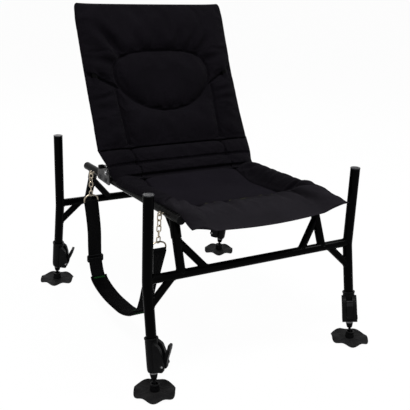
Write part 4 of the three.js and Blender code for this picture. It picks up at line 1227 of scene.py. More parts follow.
class CHAIR_OT_legs(ChairOperator):
    """Build the clamps, inner legs and swivel feet"""

    bl_idname = "chair.legs"
    bl_label = "Clamps and Feet"

    def execute(self, context):
        s = context.scene.chair_base
        ball = low_leg_point(s, down_leg(s, BALL_HEIGHT))
        barrel, cheeks = clamp_collar(s)
        lever, thumb = clamp_lever(s)
        pin = tube([lever_pivot(s, -0.0205), lever_pivot(s, 0.0205)], 0.0025, 24, 0.0005)
        for name, side, end, turn in CORNERS:
            corner = corner_matrix(side, end)
            leg = corner @ lower_matrix(s)
            clamp = leg @ Matrix.Rotation(math.radians(turn), 4, "Z")
            sole = corner @ Matrix.Translation((ball[0], ball[1], 0))
            arm, low = f"clamp_lever_{name}", f"lower_leg_{name}"
            for piece, shape, place, material, body, node, more in (
                ("clamp_collar", barrel + cheeks, clamp, "Black plastic", "base", "collar",
                 {"bevel": 0.0007}),
                ("clamp_pin", pin, clamp, "Bright steel", "base", "lever_pin", {}),
                ("clamp_lever", lever, clamp, "Black plastic", arm, "cam_lever",
                 {"bevel": 0.0008}),
                ("lever_tip", thumb, clamp, "Dark grey plastic", arm, "", {"bevel": 0.0006}),
                ("inner_tube", inner_tube(s), leg, "Bright steel", low, "inner_leg",
                 {"slot": "grey_paint"}),
                ("ball_stud", ball_stud(s), leg, "Black plastic", low, "", {}),
                ("ankle_socket", ankle_socket(), sole, "Black plastic", f"ankle_{name}",
                 "foot_socket", {}),
                ("lobed_foot", lobed_foot(), sole, "Foot rubber", f"foot_{name}", "foot_disc", {}),
            ):
                node = node and f"{node}_{name}"
                rigid_piece(f"{piece}_{name}", shape.placed(place), material, body, node, **more)
        return {"FINISHED"}


# Backrest hoop


def back_matrix(h):
    """The leaning back's own frame: the pivot is its origin and +Z runs up the lean."""
    return Matrix.Translation((0, h.y, h.height)) @ Matrix.Rotation(-h.lean, 4, "X")


def hoop_path(h):
    straight = h.tube_top - h.corner
    side = [
        (h.tube_x - h.corner * (1 - math.cos(t)), 0, straight + h.corner * math.sin(t))
        for t in np.linspace(0, math.pi / 2, 16)
    ]
    one = [(h.tube_x, 0, 0), *side]
    other = [(-x, y, z) for x, y, z in one][::-1]
    return np.array(one + other)


class CHAIR_OT_hoop(ChairOperator):
    """Build the bent tube in the backrest"""

    bl_idname = "chair.hoop"
    bl_label = "Backrest Hoop"

    def execute(self, context):
        h = context.scene.chair_hinge
        radius = h.tube / 2
        hoop = tube(hoop_path(h), radius, 36)
        for side in (-1, 1):
            half = radius - CLEAR
            hoop += along_x(drum(radius, -half, half, 0.0008, 3, 36), side * h.tube_x, 0, 0)
        hoop = hoop.placed(back_matrix(h))
        rigid_piece("back_hoop", hoop, "Black paint", "backrest", "back_frame")
        return {"FINISHED"}


# Cushions

FILLING_FRAMES = 20
PUCKER_START, PUCKER_REACH = 0.005, 0.016  # where puckers begin beside a seam, and die away
FOLD_GAIN = 1.8
RIDGE_SHARE, RIDGE_AWAY = 0.45, 1.7  # a ridge's height in fold depths and place in fold widths
STITCH_CURVE = ((0.12, -0.6), (0.5, 0.9), (0.88, -0.6))  # share of the pitch, height in radii


def pad_stops(count, *seams):
    """Stops from -1 to 1, closer together near both ends and round seams, given to one side."""
    even = crowded(-1, 1, count + 1, [way * seam for seam in seams for way in (-1, 1)], 0.06)
    return 0.55 * even + 0.45 * np.sin(even * math.pi / 2)


def crowded(low, high, count, centres, width, gain=2.0):
    """Stops from low to high that stand closer together round some centres."""
    even = np.linspace(low, high, 2001)
    crowd = np.ones(len(even))
    for centre in centres:
        crowd += gain * np.exp(-(((even - centre) / width) ** 2))
    travel = np.concatenate([[0], np.cumsum((crowd[1:] + crowd[:-1]) / 2)])
    return np.interp(np.linspace(0, travel[-1], count), travel, even)


def pad_skin(point_at, stops, along_stops):
    """A padded form from a function of across (-1 to 1), along (0 to 1) and face (-1 or 1)."""
    rings = []
    for along in along_stops:
        there = [point_at(across, along, -1) for across in stops]
        again = [point_at(across, along, 1) for across in stops[1:-1][::-1]]
        rings.append(np.array(there + again))
    return closed_skin(rings)


def closed_skin(rings):
    """A closed skin over rings of points that run out along one face and back along the other."""
    count = len(rings[0])
    faces = band_faces(len(rings), count, False)
    last = (len(rings) - 1) * count
    for side in range(count // 2):
        ends = [side, side + 1, (count - side - 1) % count, (count - side) % count]
        ends = list(dict.fromkeys(ends))
        faces.append(tuple(ends[::-1]))
        faces.append(tuple(last + index for index in ends))
    made = Shape(np.vstack(rings), faces)
    corner = made.points[list(made.faces[len(rings) // 2 * count])]
    facing = np.cross(corner[1] - corner[0], corner[2] - corner[0])
    outward = facing @ (corner.mean(0) - made.points.mean(0))
    return made if outward > 0 else Shape(made.points, [face[::-1] for face in made.faces])


def nearest_on_line(points, line):
    """Distance to a polyline and the travel along it to the nearest place, for many points."""
    line = np.asarray(line, float)
    best = np.full(len(points), 9.0)
    travel = np.zeros(len(points))
    gone = 0.0
    for a, b in zip(line, line[1:]):
        along = b - a
        size = np.linalg.norm(along)
        if size < 1e-9:
            continue
        share = np.clip((points - a) @ along / size**2, 0, 1)
        away = np.linalg.norm(points - (a + share[:, None] * along), axis=1)
        closer = away < best
        best = np.where(closer, away, best)
        travel = np.where(closer, gone + share * size, travel)
        gone += size
    return best, travel, gone


def vertex_array(mesh, what="co"):
    data = np.zeros(len(mesh.vertices) * 3, np.float32)
    mesh.vertices.foreach_get(what, data)
    return data.reshape(-1, 3).astype(float)


def set_vertices(mesh, points):
    mesh.vertices.foreach_set("co", np.asarray(points, np.float32).ravel())
    mesh.update()


def keep_modifiers(piece):
    """Applies all modifiers to the piece's mesh."""
    graph = bpy.context.evaluated_depsgraph_get()
    made = bpy.data.meshes.new_from_object(piece.evaluated_get(graph))
    piece.modifiers.clear()
    old = piece.data
    piece.data = made
    bpy.data.meshes.remove(old)


def filled(pieces, pressure, growth, cap):
    """Blows up soft pieces like a filling does: cloth under pressure, held at its seams. pieces
    pairs each piece with its hold weights, from 0 to 1. No point moves further than the cap."""
    scene = bpy.context.scene
    starts = {}
    for piece, hold in pieces:
        starts[piece.name] = vertex_array(piece.data)
        group = piece.vertex_groups.new(name="Held")
        for level in np.unique(np.round(hold, 1)):
            if level > 0:
                chosen = np.nonzero(np.round(hold, 1) == level)[0].tolist()
                group.add(chosen, float(level), "REPLACE")
        cloth = piece.modifiers.new("Filling", "CLOTH")
        settings = cloth.settings
        settings.quality = 5
        settings.mass = 0.3
        settings.tension_stiffness = settings.compression_stiffness = 15
        settings.shear_stiffness = 6
        settings.bending_stiffness = 1.5
        settings.vertex_group_mass = "Held"
        settings.use_pressure = True
        settings.uniform_pressure_force = pressure
        settings.shrink_min = -growth
        settings.effector_weights.gravity = 0
        cloth.collision_settings.use_collision = False
        cloth.point_cache.frame_start, cloth.point_cache.frame_end = 1, FILLING_FRAMES
    for step in range(1, FILLING_FRAMES + 1):
        scene.frame_set(step)
    graph = bpy.context.evaluated_depsgraph_get()
    for piece, _ in pieces:
        settled = vertex_array(piece.evaluated_get(graph).data)
        start = starts[piece.name]
        move = settled - start
        far = np.linalg.norm(move, axis=1, keepdims=True)
        move = move * np.minimum(1, cap / np.maximum(far, 1e-9))
        piece.modifiers.clear()
        piece.vertex_groups.clear()
        set_vertices(piece.data, start + move)
    scene.frame_set(1)


def subdivided(piece):
    change = piece.modifiers.new("Finer", "SUBSURF")
    change.levels = change.render_levels = 1
    keep_modifiers(piece)


def smooth_random(rng, count, span):
    """A smooth random line: values at even stops, read by interpolation."""
    values = rng.uniform(-1, 1, count)
    stops = np.linspace(0, span, count)
    return lambda travel: np.interp(travel, stops, values)


def sewn(flat, lift, lines, rng, c, pucker=0.0007, wave=0.03, dip=1.0):
    """How far a surface is drawn in by sewn lines, and the soft puckers beside them. flat holds
    each point's place in the pattern, and lift is 1 where the surface faces out of it."""
    groove, drawn, puckered = np.zeros(len(flat)), np.zeros(len(flat)), np.zeros(len(flat))
    for line in lines:
        away, travel, total = nearest_on_line(flat, line)
        groove = np.maximum(groove, np.exp(-((away / c.seam_width) ** 2)))
        drawn = np.maximum(drawn, np.exp(-((away / c.dip_width) ** 1.6)))
        drift = smooth_random(rng, max(4, int(total / 0.04)), total)
        size = smooth_random(rng, max(4, int(total / 0.03)), total)
        phase = 2 * math.pi * (travel / wave + 0.9 * drift(travel))
        near = np.exp(-away / PUCKER_REACH) * (1 - np.exp(-((away / PUCKER_START) ** 2)))
        puckered += pucker * np.sin(phase) * near * (0.6 + 0.7 * size(travel))
    return (puckered - c.seam_depth * groove - c.dip_depth * dip * drawn) * lift


def creased(flat, lift, creases):
    """Soft single folds: each is a line, a depth and a width, and fades at both its ends. A low
    ridge stands beside each fold."""
    moved = np.zeros(len(flat))
    for line, depth, width in creases:
        away, travel, total = nearest_on_line(flat, line)
        depth *= FOLD_GAIN
        fade = np.sin(math.pi * np.clip(travel / total * 0.86 + 0.1, 0, 1)) ** 0.8
        moved -= depth * fade * np.exp(-((away / width) ** 2))
        ridge = np.exp(-(((away - RIDGE_AWAY * width) / width) ** 2))
        moved += depth * RIDGE_SHARE * fade * ridge
    return moved * lift


def stitches(surface, line, pitch, radius):
    """Thread stitches along a line that is laid on a surface, as one shape."""
    tree = BVHTree.FromPolygons([tuple(p) for p in surface.points], surface.faces)
    made = Shape()
    path = resampled(line, pitch)
    for a, b in zip(path, path[1:]):
        ends = []
        for share, rise in STITCH_CURVE:
            found = tree.find_nearest(Vector(mix(a, b, share)))
            ends.append(np.array(found[0] + found[1] * radius * rise))
        span = np.linalg.norm(ends[2] - ends[0])
        if pitch * 0.4 < span < pitch * 1.4:
            made = made + tube(ends, radius, 6)
    return made


def mesh_shape(piece):
    return Shape(vertex_array(piece.data), [tuple(face.vertices) for face in piece.data.polygons])


def soft_piece(piece, material, node):
    dressed(piece, material, 0)
    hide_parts(node)


# The back cushion, drawn in the leaning back's own frame. front and rear are its depths, slack
# the share of them before it is filled, and forward, bow, sag, corner, foot and ear shape its
# outline.

BACK = {
    "bottom": 0.063, "top": 0.4795, "half_width": 0.237, "front": 0.02, "rear": 0.023,
    "forward": 0.004, "bow": 0.008, "sag": 0.001, "corner": 0.013, "foot": -0.002, "ear": 0.003,
    "slack": 0.86,
}
OVAL = {
    "half_width": 0.15, "top": 0.337, "widest": 0.275, "bottom": 0.162,
    "upper_power": 0.55, "lower_power": 1.0,
}
BACK_SIDE_SEAMS = (
    ((0.145, 0.05), (0.15, 0.143), (0.153, 0.232)),
    ((0.146, 0.232), (0.188, 0.257), (0.24, 0.283)),
)


def back_point(across, rise, face):
    """The back cushion before it is filled: rise runs up the lean, and face is -1 in front."""
    corner = max(0.0, (rise - 0.88) / 0.12)
    draw = BACK["corner"] * (1 - plump(corner, 2)) + BACK["foot"] * (1 - smoothed(rise, 0, 0.2))
    x = across * (BACK["half_width"] - draw)
    sag = BACK["sag"] * (1 - across**2) * smoothed(rise, 0.8, 1)
    height = mix(BACK["bottom"], BACK["top"], rise) - sag
    end_share = max(2 * rise - 1, (1 - 2 * rise) * 0.93)
    full = plump(across, 6) * max(plump(end_share, 8), 0.05)
    depth = (-BACK["front"] if face < 0 else BACK["rear"]) * full * BACK["slack"]
    ear = BACK["ear"] * abs(across) ** 10 * smoothed(rise, 0.93, 1)
    x, height = x + math.copysign(ear, x), height + ear * 0.7
    return np.array([x, -BACK["forward"] + BACK["bow"] * math.sin(math.pi * rise) + depth, height])


def oval_line(count=72):
    made = []
    for turn in np.linspace(0, 2 * math.pi, count + 1):
        upper = math.sin(turn) > 0
        power = OVAL["upper_power"] if upper else OVAL["lower_power"]
        x = OVAL["half_width"] * math.copysign(abs(math.cos(turn)) ** power, math.cos(turn))
        reach = OVAL["top"] - OVAL["widest"] if upper else OVAL["widest"] - OVAL["bottom"]
        made.append((x, OVAL["widest"] + reach * math.sin(turn)))
    return np.array(made)


def back_seams():
    """The sewn lines of the back cushion, as x and height along the lean."""
    lines = [oval_line()]
    for side in (-1, 1):
        for line in BACK_SIDE_SEAMS:
            lines.append(spline([(side * x, height) for x, height in line], 8))
    return lines


def back_creases():
    """Folds round the rounded panel, as line, depth and width."""
    return [
        ([(-0.122, 0.326), (-0.15, 0.362), (-0.19, 0.412)], 0.0068, 0.0145),
        ([(-0.152, 0.3), (-0.19, 0.312), (-0.224, 0.318)], 0.0026, 0.012),
        ([(-0.06, 0.34), (-0.075, 0.385)], 0.002, 0.013),
        ([(0.0, 0.341), (-0.004, 0.395)], 0.0022, 0.013),
        ([(0.052, 0.341), (0.07, 0.4)], 0.003, 0.01),
        ([(0.092, 0.337), (0.122, 0.395)], 0.0032, 0.009),
        ([(0.126, 0.325), (0.162, 0.376)], 0.004, 0.01),
        ([(0.149, 0.3), (0.192, 0.318), (0.222, 0.33)], 0.0026, 0.011),
        ([(-0.168, 0.215), (-0.19, 0.206), (-0.226, 0.2)], 0.0026, 0.007),
        ([(-0.164, 0.18), (-0.2, 0.168), (-0.226, 0.166)], 0.0018, 0.009),
        ([(-0.16, 0.125), (-0.2, 0.118)], 0.0014, 0.012),
        ([(0.163, 0.205), (0.2, 0.214), (0.226, 0.222)], 0.0022, 0.008),
        ([(0.162, 0.18), (0.226, 0.19)], 0.0022, 0.008),
        ([(0.16, 0.13), (0.206, 0.12)], 0.0014, 0.012),
        ([(-0.02, 0.158), (0.012, 0.118)], 0.0014, 0.013),
        ([(-0.1, 0.16), (-0.12, 0.13)], 0.0012, 0.012),
        ([(0.08, 0.166), (0.1, 0.12)], 0.0014, 0.013),
    ]


def in_back_frame(h, points):
    """Row-frame points in the leaning back's own frame."""
    return carried(back_matrix(h).inverted(), points)


def back_pad_start(h):
    seams = crowded(0.06, 0.88, 84, (0.238, 0.44, 0.5, 0.658), 0.045)
    rises = np.concatenate([
        np.linspace(-0.008, 0.06, 9)[:-1], seams[:-1],
        1 - 0.12 * np.cos(np.linspace(0, math.pi / 2, 16)),
    ])
    return pad_skin(back_point, pad_stops(80, 0.52), rises).placed(back_matrix(h))


def clear_of_hoop(h, local, gap):
    """Keeps the cushion's skin a gap away from the hoop inside it."""
    route = hoop_path(h)[:, [0, 2]]
    away, _, _ = nearest_on_line(local[:, [0, 2]], route)
    reach = np.sqrt(np.clip((h.tube / 2 + gap) ** 2 - away**2, 0, None))
    depth = local[:, 1]
    kept = np.where(depth < 0, np.minimum(depth, -reach), np.maximum(depth, reach))
    return np.column_stack([local[:, 0], np.where(reach > 0, kept, depth), local[:, 2]])


def back_hold(h, points):
    """How firmly each point is held while the filling swells it."""
    local = in_back_frame(h, points)
    hold = seam_hold(local[:, [0, 2]], back_seams(), 0.005, local[:, 1] < 0)
    share = (local[:, 2] - BACK["bottom"]) / (BACK["top"] - BACK["bottom"])
    middle = -BACK["forward"] + BACK["bow"] * np.sin(math.pi * np.clip(share, 0, 1))
    outline = (np.abs(local[:, 1] - middle) < 0.006) | (share < 0.02) | (share > 0.985)
    return np.where(outline, 1.0, hold)


def seam_hold(flat, seams, reach, on_face):
    """1 for the points of one face that lie at a seam, and 0 for the others."""
    hold = np.zeros(len(flat))
    for line in seams:
        away, _, _ = nearest_on_line(flat, line)
        hold = np.maximum(hold, (away < reach) * on_face)
    return hold


# The seat cushion, drawn over the rails. Its heights are from a rail's axis: crown is the plump
# border's top, panel and panel_rear the sunk panel and its rear end, and under the slung belly,
# which rises to front_thin between belly_end and thin_end behind the front edge.

SEAT = {
    "rear": 0.0455, "front": -0.351, "bulge": 0.018, "half_width": 0.226, "rear_draw": 0.004,
    "edge": 0.007, "crown": 0.027, "panel": -0.005, "panel_rear": 0.017, "under": -0.04,
    "panel_x": 0.15, "crown_x": 0.192, "panel_front": -0.182, "front_crown": 0.013,
    "front_drop": 0.01, "front_thin": 0.01, "belly_end": 0.14, "thin_end": 0.02,
    "corner": 0.013, "tuck": 0.018, "rear_rise": -0.06,
}
# How a front corner is drawn along X, along Y and down, as shares of SEAT's corner
CORNER_PULL = {"left": (1.0, -0.3, 0.6), "right": (0.3, 0.5, 1.9)}
TUCK_RISE = 0.33  # how far the tucked border rises, as a share of the tuck
ABOVE_SEAT = 0.43  # the height from which thread is laid on the seat


def seat_top(r, x, y):
    """The seat cushion's upper side: a flat panel in a plump border."""
    rear = smoothed(y, SEAT["rear_rise"], SEAT["rear"])
    band = (SEAT["panel_front"] - y) / (SEAT["panel_front"] - SEAT["front"])
    band = min(1.0, max(0.0, band))
    panel = mix(SEAT["panel"], SEAT["panel_rear"], rear)
    panel += SEAT["front_crown"] * math.sin(math.pi * band)
    crown = SEAT["crown"] * (1 - 0.4 * band**4)
    past = past_crown(x)
    if past > 0:
        rise = mix(SEAT["edge"], crown, plump(min(past, 1.0), 2))
    else:
        rise = mix(panel, crown, smoothed(abs(x), SEAT["panel_x"], SEAT["crown_x"]))
    return rail_height(r, y) + rise


def past_crown(x):
    """A share that is 0 at the border's crown, 1 at the side edge and below 0 inside."""
    return (abs(x) - SEAT["crown_x"]) / (SEAT["half_width"] - SEAT["crown_x"])


def seat_under(r, x, y):
    """The seat cushion's underside, slung between the rails and thinner at its two ends."""
    rear = smoothed(y, SEAT["rear_rise"], SEAT["rear"])
    front_y = -SEAT["front"]
    front = smoothed(-y, front_y - SEAT["belly_end"], front_y - SEAT["thin_end"])
    slung = mix(SEAT["under"], SEAT["panel_rear"] - 0.01, rear)
    under = mix(slung, -SEAT["front_thin"], front)
    spread = 0.03 * front
    edge = smoothed(abs(x), SEAT["panel_x"] + spread, SEAT["crown_x"] + spread)
    low = mix(under, 0.0, edge)
    past = max(0.0, past_crown(x))
    return rail_height(r, y) + mix(SEAT["edge"], low, plump(min(past, 1.0), 2))


def seat_tuck(y):
    """How far the right-hand border is pulled in, on to the rail, towards the front."""
    along = (SEAT["rear"] - y) / (SEAT["rear"] - SEAT["front"])
    return SEAT["tuck"] * smoothed(along, 0.1, 0.65)


def seat_point(r, across, along, face):
    """The seat cushion before it is filled: across from right to left, along from rear to front,
    and face 1 on top and -1 below."""
    y = mix(SEAT["rear"], SEAT["front"], along)
    x = across * (SEAT["half_width"] - SEAT["rear_draw"] * (1 - smoothed(along, 0, 0.3)))
    front = smoothed(along, 0.75, 1)
    bulge = SEAT["bulge"] * front * (1 - across**2)
    drop = SEAT["front_drop"] * front * (1 - across**2)
    top, under = seat_top(r, x, y), seat_under(r, x, y)
    thin = mix(1, 0.3, smoothed(along, 0.9, 1)) * mix(0.95, 1, smoothed(along, 0, 0.08))
    height = (top + under) / 2 + face * (top - under) / 2 * thin - drop
    drawn = SEAT["corner"] * abs(across) ** 6 * smoothed(along, 0.82, 1)
    push_x, push_y, down = CORNER_PULL["left" if x > 0 else "right"]
    if x <= 0:
        pulled = seat_tuck(y)
        x += pulled * abs(across) ** 3
        height += TUCK_RISE * pulled * abs(across) ** 6
    return np.array([x + push_x * drawn, y - bulge + push_y * drawn, height - down * drawn])


def seat_seams():
    """The sewn lines of the seat cushion, seen from above."""
    front_y = SEAT["panel_front"]
    front_x, rear_x = SEAT["panel_x"] + 0.004, SEAT["panel_x"] - 0.008
    lines = [np.array([(-front_x, front_y), (front_x, front_y)])]
    for side in (-1, 1):
        corner = (side * front_x, front_y)
        lines.append(np.array([(side * rear_x, SEAT["rear"] + 0.004), corner]))
        outer = [(side * 0.19, front_y - 0.018), (side * 0.23, front_y - 0.03)]
        lines.append(np.array([corner, *outer]))
    return lines


def seat_creases():
    """Folds of the seat's border, as line, depth and width."""
    return [
        ([(0.16, -0.19), (0.195, -0.214), (0.226, -0.24)], 0.0055, 0.007),
        ([(0.158, -0.2), (0.188, -0.25), (0.222, -0.315)], 0.006, 0.008),
        ([(-0.158, -0.2), (-0.184, -0.235), (-0.2, -0.28)], 0.0034, 0.009),
        ([(0.156, 0.018), (0.186, 0.0), (0.212, -0.004)], 0.003, 0.007),
        ([(0.156, -0.02), (0.18, -0.036)], 0.0018, 0.008),
        ([(-0.156, 0.018), (-0.186, 0.0), (-0.212, -0.004)], 0.003, 0.007),
        ([(0.17, -0.09), (0.205, -0.1)], 0.0014, 0.009),
        ([(-0.17, -0.11), (-0.2, -0.12)], 0.0014, 0.009),
        ([(-0.1, -0.19), (-0.13, -0.25)], 0.0034, 0.01),
        ([(-0.03, -0.19), (-0.05, -0.24), (-0.045, -0.29)], 0.0036, 0.011),
        ([(0.05, -0.19), (0.075, -0.25)], 0.0034, 0.011),
        ([(0.12, -0.19), (0.146, -0.25), (0.165, -0.32)], 0.005, 0.01),
    ]


def seat_pad_start(r):
    seams = crowded(0.08, 0.9, 64, (0.575, 0.63), 0.03)
    alongs = np.concatenate([
        np.linspace(-0.008, 0.08, 9)[:-1], seams[:-1], np.linspace(0.9, 1, 11),
    ])
    point_at = lambda across, along, face: seat_point(r, across, along, face)
    return pad_skin(point_at, pad_stops(84, 0.56), alongs)


def seat_hold(r, points):
    """How firmly each point is held while the filling swells it."""
    x, y, z = points.T
    middle = np.array([rail_height(r, place) for place in y])
    hold = seam_hold(points[:, :2], seat_seams(), 0.004, z > middle - 0.016)
    in_panel = (np.abs(x) < SEAT["panel_x"]) & (y > SEAT["panel_front"])
    hold = np.maximum(hold, in_panel * 0.9)
    hold = np.maximum(hold, z < middle + 0.002)
    bulge = SEAT["bulge"] * (1 - (x / SEAT["half_width"]) ** 2)
    front = y < SEAT["front"] - bulge + 0.005 + 0.008 * (x < -0.18)
    side = np.abs(x) > SEAT["half_width"] - 0.006 - (x < 0) * seat_tuck(y)
    return np.where(front | side | (y > SEAT["rear"] - 0.004), 1.0, hold)


# The two gathered rolls between seat and back. front, middle and rear are y and z of their arc,
# and tuck_fade is where, along it, their ends' tuck fades out.

ROLL = {
    "front": (0.0465, 0.4), "middle": (0.084, 0.415), "rear": (0.1305, 0.456),
    "widths": (0.218, 0.228, 0.24), "pinch": 0.004, "swell": 0.011, "tuck": 0.018,
    "tongue": 0.0012, "tuck_fade": (0.34, 0.56), "front_tuck": 0.35,
}


def roll_place(share):
    """A place between the seat's edge (0) and the back's (1), and the direction there."""
    a, b, c = (np.array(ROLL[key]) for key in ("front", "middle", "rear"))
    place = (1 - share) ** 2 * a + 2 * share * (1 - share) * b + share**2 * c
    tangent = unit(2 * (1 - share) * (b - a) + 2 * share * (c - b))
    return place, tangent


def roll_point(across, share, face):
    """The rolls before they are filled. Below share 0 a thin tongue runs under the seat's edge,
    and the rolls' ends are tucked down on to the rails."""
    place, tangent = roll_place(share)
    half = ROLL["pinch"] + ROLL["swell"] * abs(math.sin(2 * math.pi * share)) ** 0.7
    if share < 0:
        half = mix(ROLL["pinch"], ROLL["tongue"], min(1.0, -share / 0.05))
    first, middle, last = ROLL["widths"]
    width = mix(first, middle, 2 * share) if share < 0.5 else mix(middle, last, 2 * share - 1)
    lift = -face * half * plump(across, 6)
    full, gone = ROLL["tuck_fade"]
    tuck = ROLL["tuck"] * abs(across) ** 14 * smoothed(-share, -gone, -full)
    tuck *= mix(ROLL["front_tuck"], 1.0, smoothed(share, -0.04, 0.2))
    y, z = place[0] - tangent[1] * lift, place[1] + tangent[0] * lift - tuck
    return np.array([across * width, y, z])


def roll_start():
    shares = np.concatenate([np.linspace(-0.16, -0.01, 7), np.linspace(0.0, 1.04, 38)])
    return pad_skin(roll_point, pad_stops(76, 0.52), shares)


def roll_share(points):
    """Where each point is between the seat's edge (0) and the back's (1)."""
    shares = np.linspace(0, 1, 41)
    places = np.array([roll_place(share)[0] for share in shares])
    away = np.linalg.norm(points[:, None, 1:] - places[None], axis=2)
    return shares[np.argmin(away, axis=1)]


def roll_hold(points):
    """How firmly each point is held while the filling swells it."""
    share = roll_share(points)
    at_seam = (share < 0.06) | (share > 0.95) | (np.abs(share - 0.5) < 0.03)
    return np.where(at_seam | (np.abs(points[:, 0]) > 0.216), 1.0, 0.0)


def along_normals(piece, distance):
    mesh = piece.data
    points, normals = vertex_array(mesh), vertex_array(mesh, "normal")
    set_vertices(mesh, points + normals * distance[:, None])


class CHAIR_OT_cushions(ChairOperator):
    """Build the backrest, seat and roll cushions, filled by simulation and then sewn"""

    bl_idname = "chair.cushions"
    bl_label = "Cushions"

    def execute(self, context):
        scene = context.scene
        h, r, c = scene.chair_hinge, scene.chair_seat_frame, scene.chair_cushions
        back = new_object("backrest_cushion", back_pad_start(h))
        seat = new_object("seat_cushion", seat_pad_start(r))
        rolls = new_object("gathered_rolls", roll_start())
        holds = [
            (back, back_hold(h, vertex_array(back.data))),
            (seat, seat_hold(r, vertex_array(seat.data))),
            (rolls, roll_hold(vertex_array(rolls.data))),
        ]
        filled(holds, c.pressure, growth=0.02, cap=0.012)
        for index, (piece, sew) in enumerate((
            (back, self.sew_back), (seat, self.sew_seat), (rolls, self.sew_rolls),
        )):
            subdivided(piece)
            sew(scene, piece, np.random.default_rng(scene.chair_stage.seed + index))
        return {"FINISHED"}

    def sew_back(self, scene, back, rng):
        h, c = scene.chair_hinge, scene.chair_cushions
        place = back_matrix(h)
        local = in_back_frame(h, vertex_array(back.data))
        turned_in = vertex_array(back.data, "normal") @ np.array(place)[:3, :3]
        lift = smoothed(-turned_in[:, 1], 0.15, 0.6)
        flat = local[:, [0, 2]]
        moved = sewn(flat, lift, back_seams(), rng, c)
        moved += creased(flat, lift, back_creases())
        along_normals(back, moved)
        kept = clear_of_hoop(h, in_back_frame(h, vertex_array(back.data)), 0.0012)
        set_vertices(back.data, carried(place, kept))
        soft_piece(back, "Cushion fabric", "back_pad")
        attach(back, "backrest")
        surface, thread = mesh_shape(back), Shape()
        for line in back_seams():
            inside = [(x, -0.03, z) for x, z in line if abs(x) < 0.228 and z > 0.066]
            thread += stitches(surface, carried(place, np.array(inside)), c.stitch, c.thread)
        thread_piece("backrest_stitching", thread, "Black thread", "backrest")

    def sew_seat(self, scene, seat, rng):
        c = scene.chair_cushions
        points = vertex_array(seat.data)
        lift = smoothed(vertex_array(seat.data, "normal")[:, 2], 0.1, 0.6)
        moved = sewn(points[:, :2], lift, seat_seams(), rng, c, dip=0.5)
        moved += creased(points[:, :2], lift, seat_creases())
        along_normals(seat, moved)
        soft_piece(seat, "Seat border fabric", "seat_pad")
        seat.data.materials.append(bpy.data.materials["Seat panel fabric"])
        for face in seat.data.polygons:
            x, y, _ = face.center
            within = abs(x) < SEAT["panel_x"] - 0.002 - 0.04 * (y + 0.1)
            if within and y > SEAT["panel_front"] + 0.003 and face.normal[2] > 0.5:
                face.material_index = 1
        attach(seat, "base")
        surface, thread = mesh_shape(seat), Shape()
        for line in seat_seams():
            inside = [(x, y, ABOVE_SEAT) for x, y in line if abs(x) < 0.222 and y < 0.04]
            if len(inside) > 1:
                thread += stitches(surface, np.array(inside), c.stitch, c.thread)
        front_y = SEAT["panel_front"] + 0.0035
        front = np.array([(x, front_y, ABOVE_SEAT) for x in (-0.1, SEAT["panel_x"])])
        pale = stitches(surface, front, c.stitch, c.thread * 1.5)
        thread_piece("seat_stitching", thread, "Black thread", "base")
        thread_piece("panel_stitching", pale, "Olive thread", "base")

    def sew_rolls(self, scene, rolls, rng):
        c = scene.chair_cushions
        points, normals = vertex_array(rolls.data), vertex_array(rolls.data, "normal")
        lift = smoothed(normals[:, 2] - normals[:, 1], 0.1, 0.7)
        flat = np.stack([points[:, 0], roll_share(points) * 0.1], 1)
        across = [np.array([(-0.23, s), (0.23, s)]) for s in (0.0, 0.05, 0.1)]
        ties = [np.array([(side * 0.144, 0.1), (side * 0.142, 0.0)]) for side in (-1, 1)]
        moved = sewn(flat, lift, across, rng, c, pucker=0.0007, wave=0.026, dip=0)
        moved += sewn(flat, lift, ties, rng, c, pucker=0.0006, wave=0.026, dip=0.4)
        along_normals(rolls, moved)
        soft_piece(rolls, "Cushion fabric", "lumbar_roll")
        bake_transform(rolls)


# Carrying strap


def band_section(width, thickness):
    """A flat band's section with rounded edges: along the band's face, then through it."""
    half, edge = width / 2, thickness / 2
    turns = np.linspace(-math.pi / 2, math.pi / 2, 7)
    right = [(half - edge + edge * math.cos(t), edge * math.sin(t)) for t in turns]
    return np.array(right + [(-x, -y) for x, y in right])


def strap_line(points, steps=8):
    return np.array([(STRAP_X, y, z) for y, z in spline(points, steps)])


def band(points, width):
    """A band of webbing that follows y and z points, its face across X."""
    section = band_section(width, WEBBING_THICKNESS)
    return swept(strap_line(points), section, start=(1, 0, 0))


def chain_link(outer_length, outer_width, wire):
    """One oval link standing along Z, in the XZ plane."""
    half = outer_width / 2 - wire / 2
    straight = outer_length / 2 - wire / 2 - half
    turns = np.linspace(0, math.pi, 12)
    upper = [(half * math.cos(t), 0, straight + half * math.sin(t)) for t in turns]
    lower = [(-x, 0, -z) for x, _, z in upper]
    return swept(np.array(upper + lower), circle(wire / 2, 12), closed=True)


def chain_between(top, bottom, count=5, wire=0.0029):
    """Links that hang in each other from top to bottom, given as y and z."""
    a, b = np.array([STRAP_X, *top]), np.array([STRAP_X, *bottom])
    along = b - a
    pitch = np.linalg.norm(along) / count
    turn = Vector((0, 0, -1)).rotation_difference(Vector(along)).to_matrix().to_4x4()
    made = Shape()
    for index in range(count):
        place = Matrix.Translation(a + along * (index + 0.5) / count) @ turn
        degrees = 90 * (index % 2) + LINK_SWAY * math.sin(index * 1.7)
        spin = Matrix.Rotation(math.radians(degrees), 4, "Z")
        made += chain_link(pitch + 2 * wire, LINK_WIDTH, wire).placed(place @ spin)
    return made


def strap_ring(y, z):
    """The D-shaped ring that the webbing hangs in, its centre at y and z."""
    half = WEBBING_WIDTH / 2
    turns = np.linspace(0, math.pi, 15)
    arch = [(half * math.cos(t), -0.003 + 0.013 * math.sin(t)) for t in turns]
    outline = rounded([(-half, -0.01), (half, -0.01), *arch], 0.003, 3)
    path = np.array([(x + STRAP_X, y, z + up) for x, up in outline])
    return swept(path, circle(0.002, 14), closed=True)


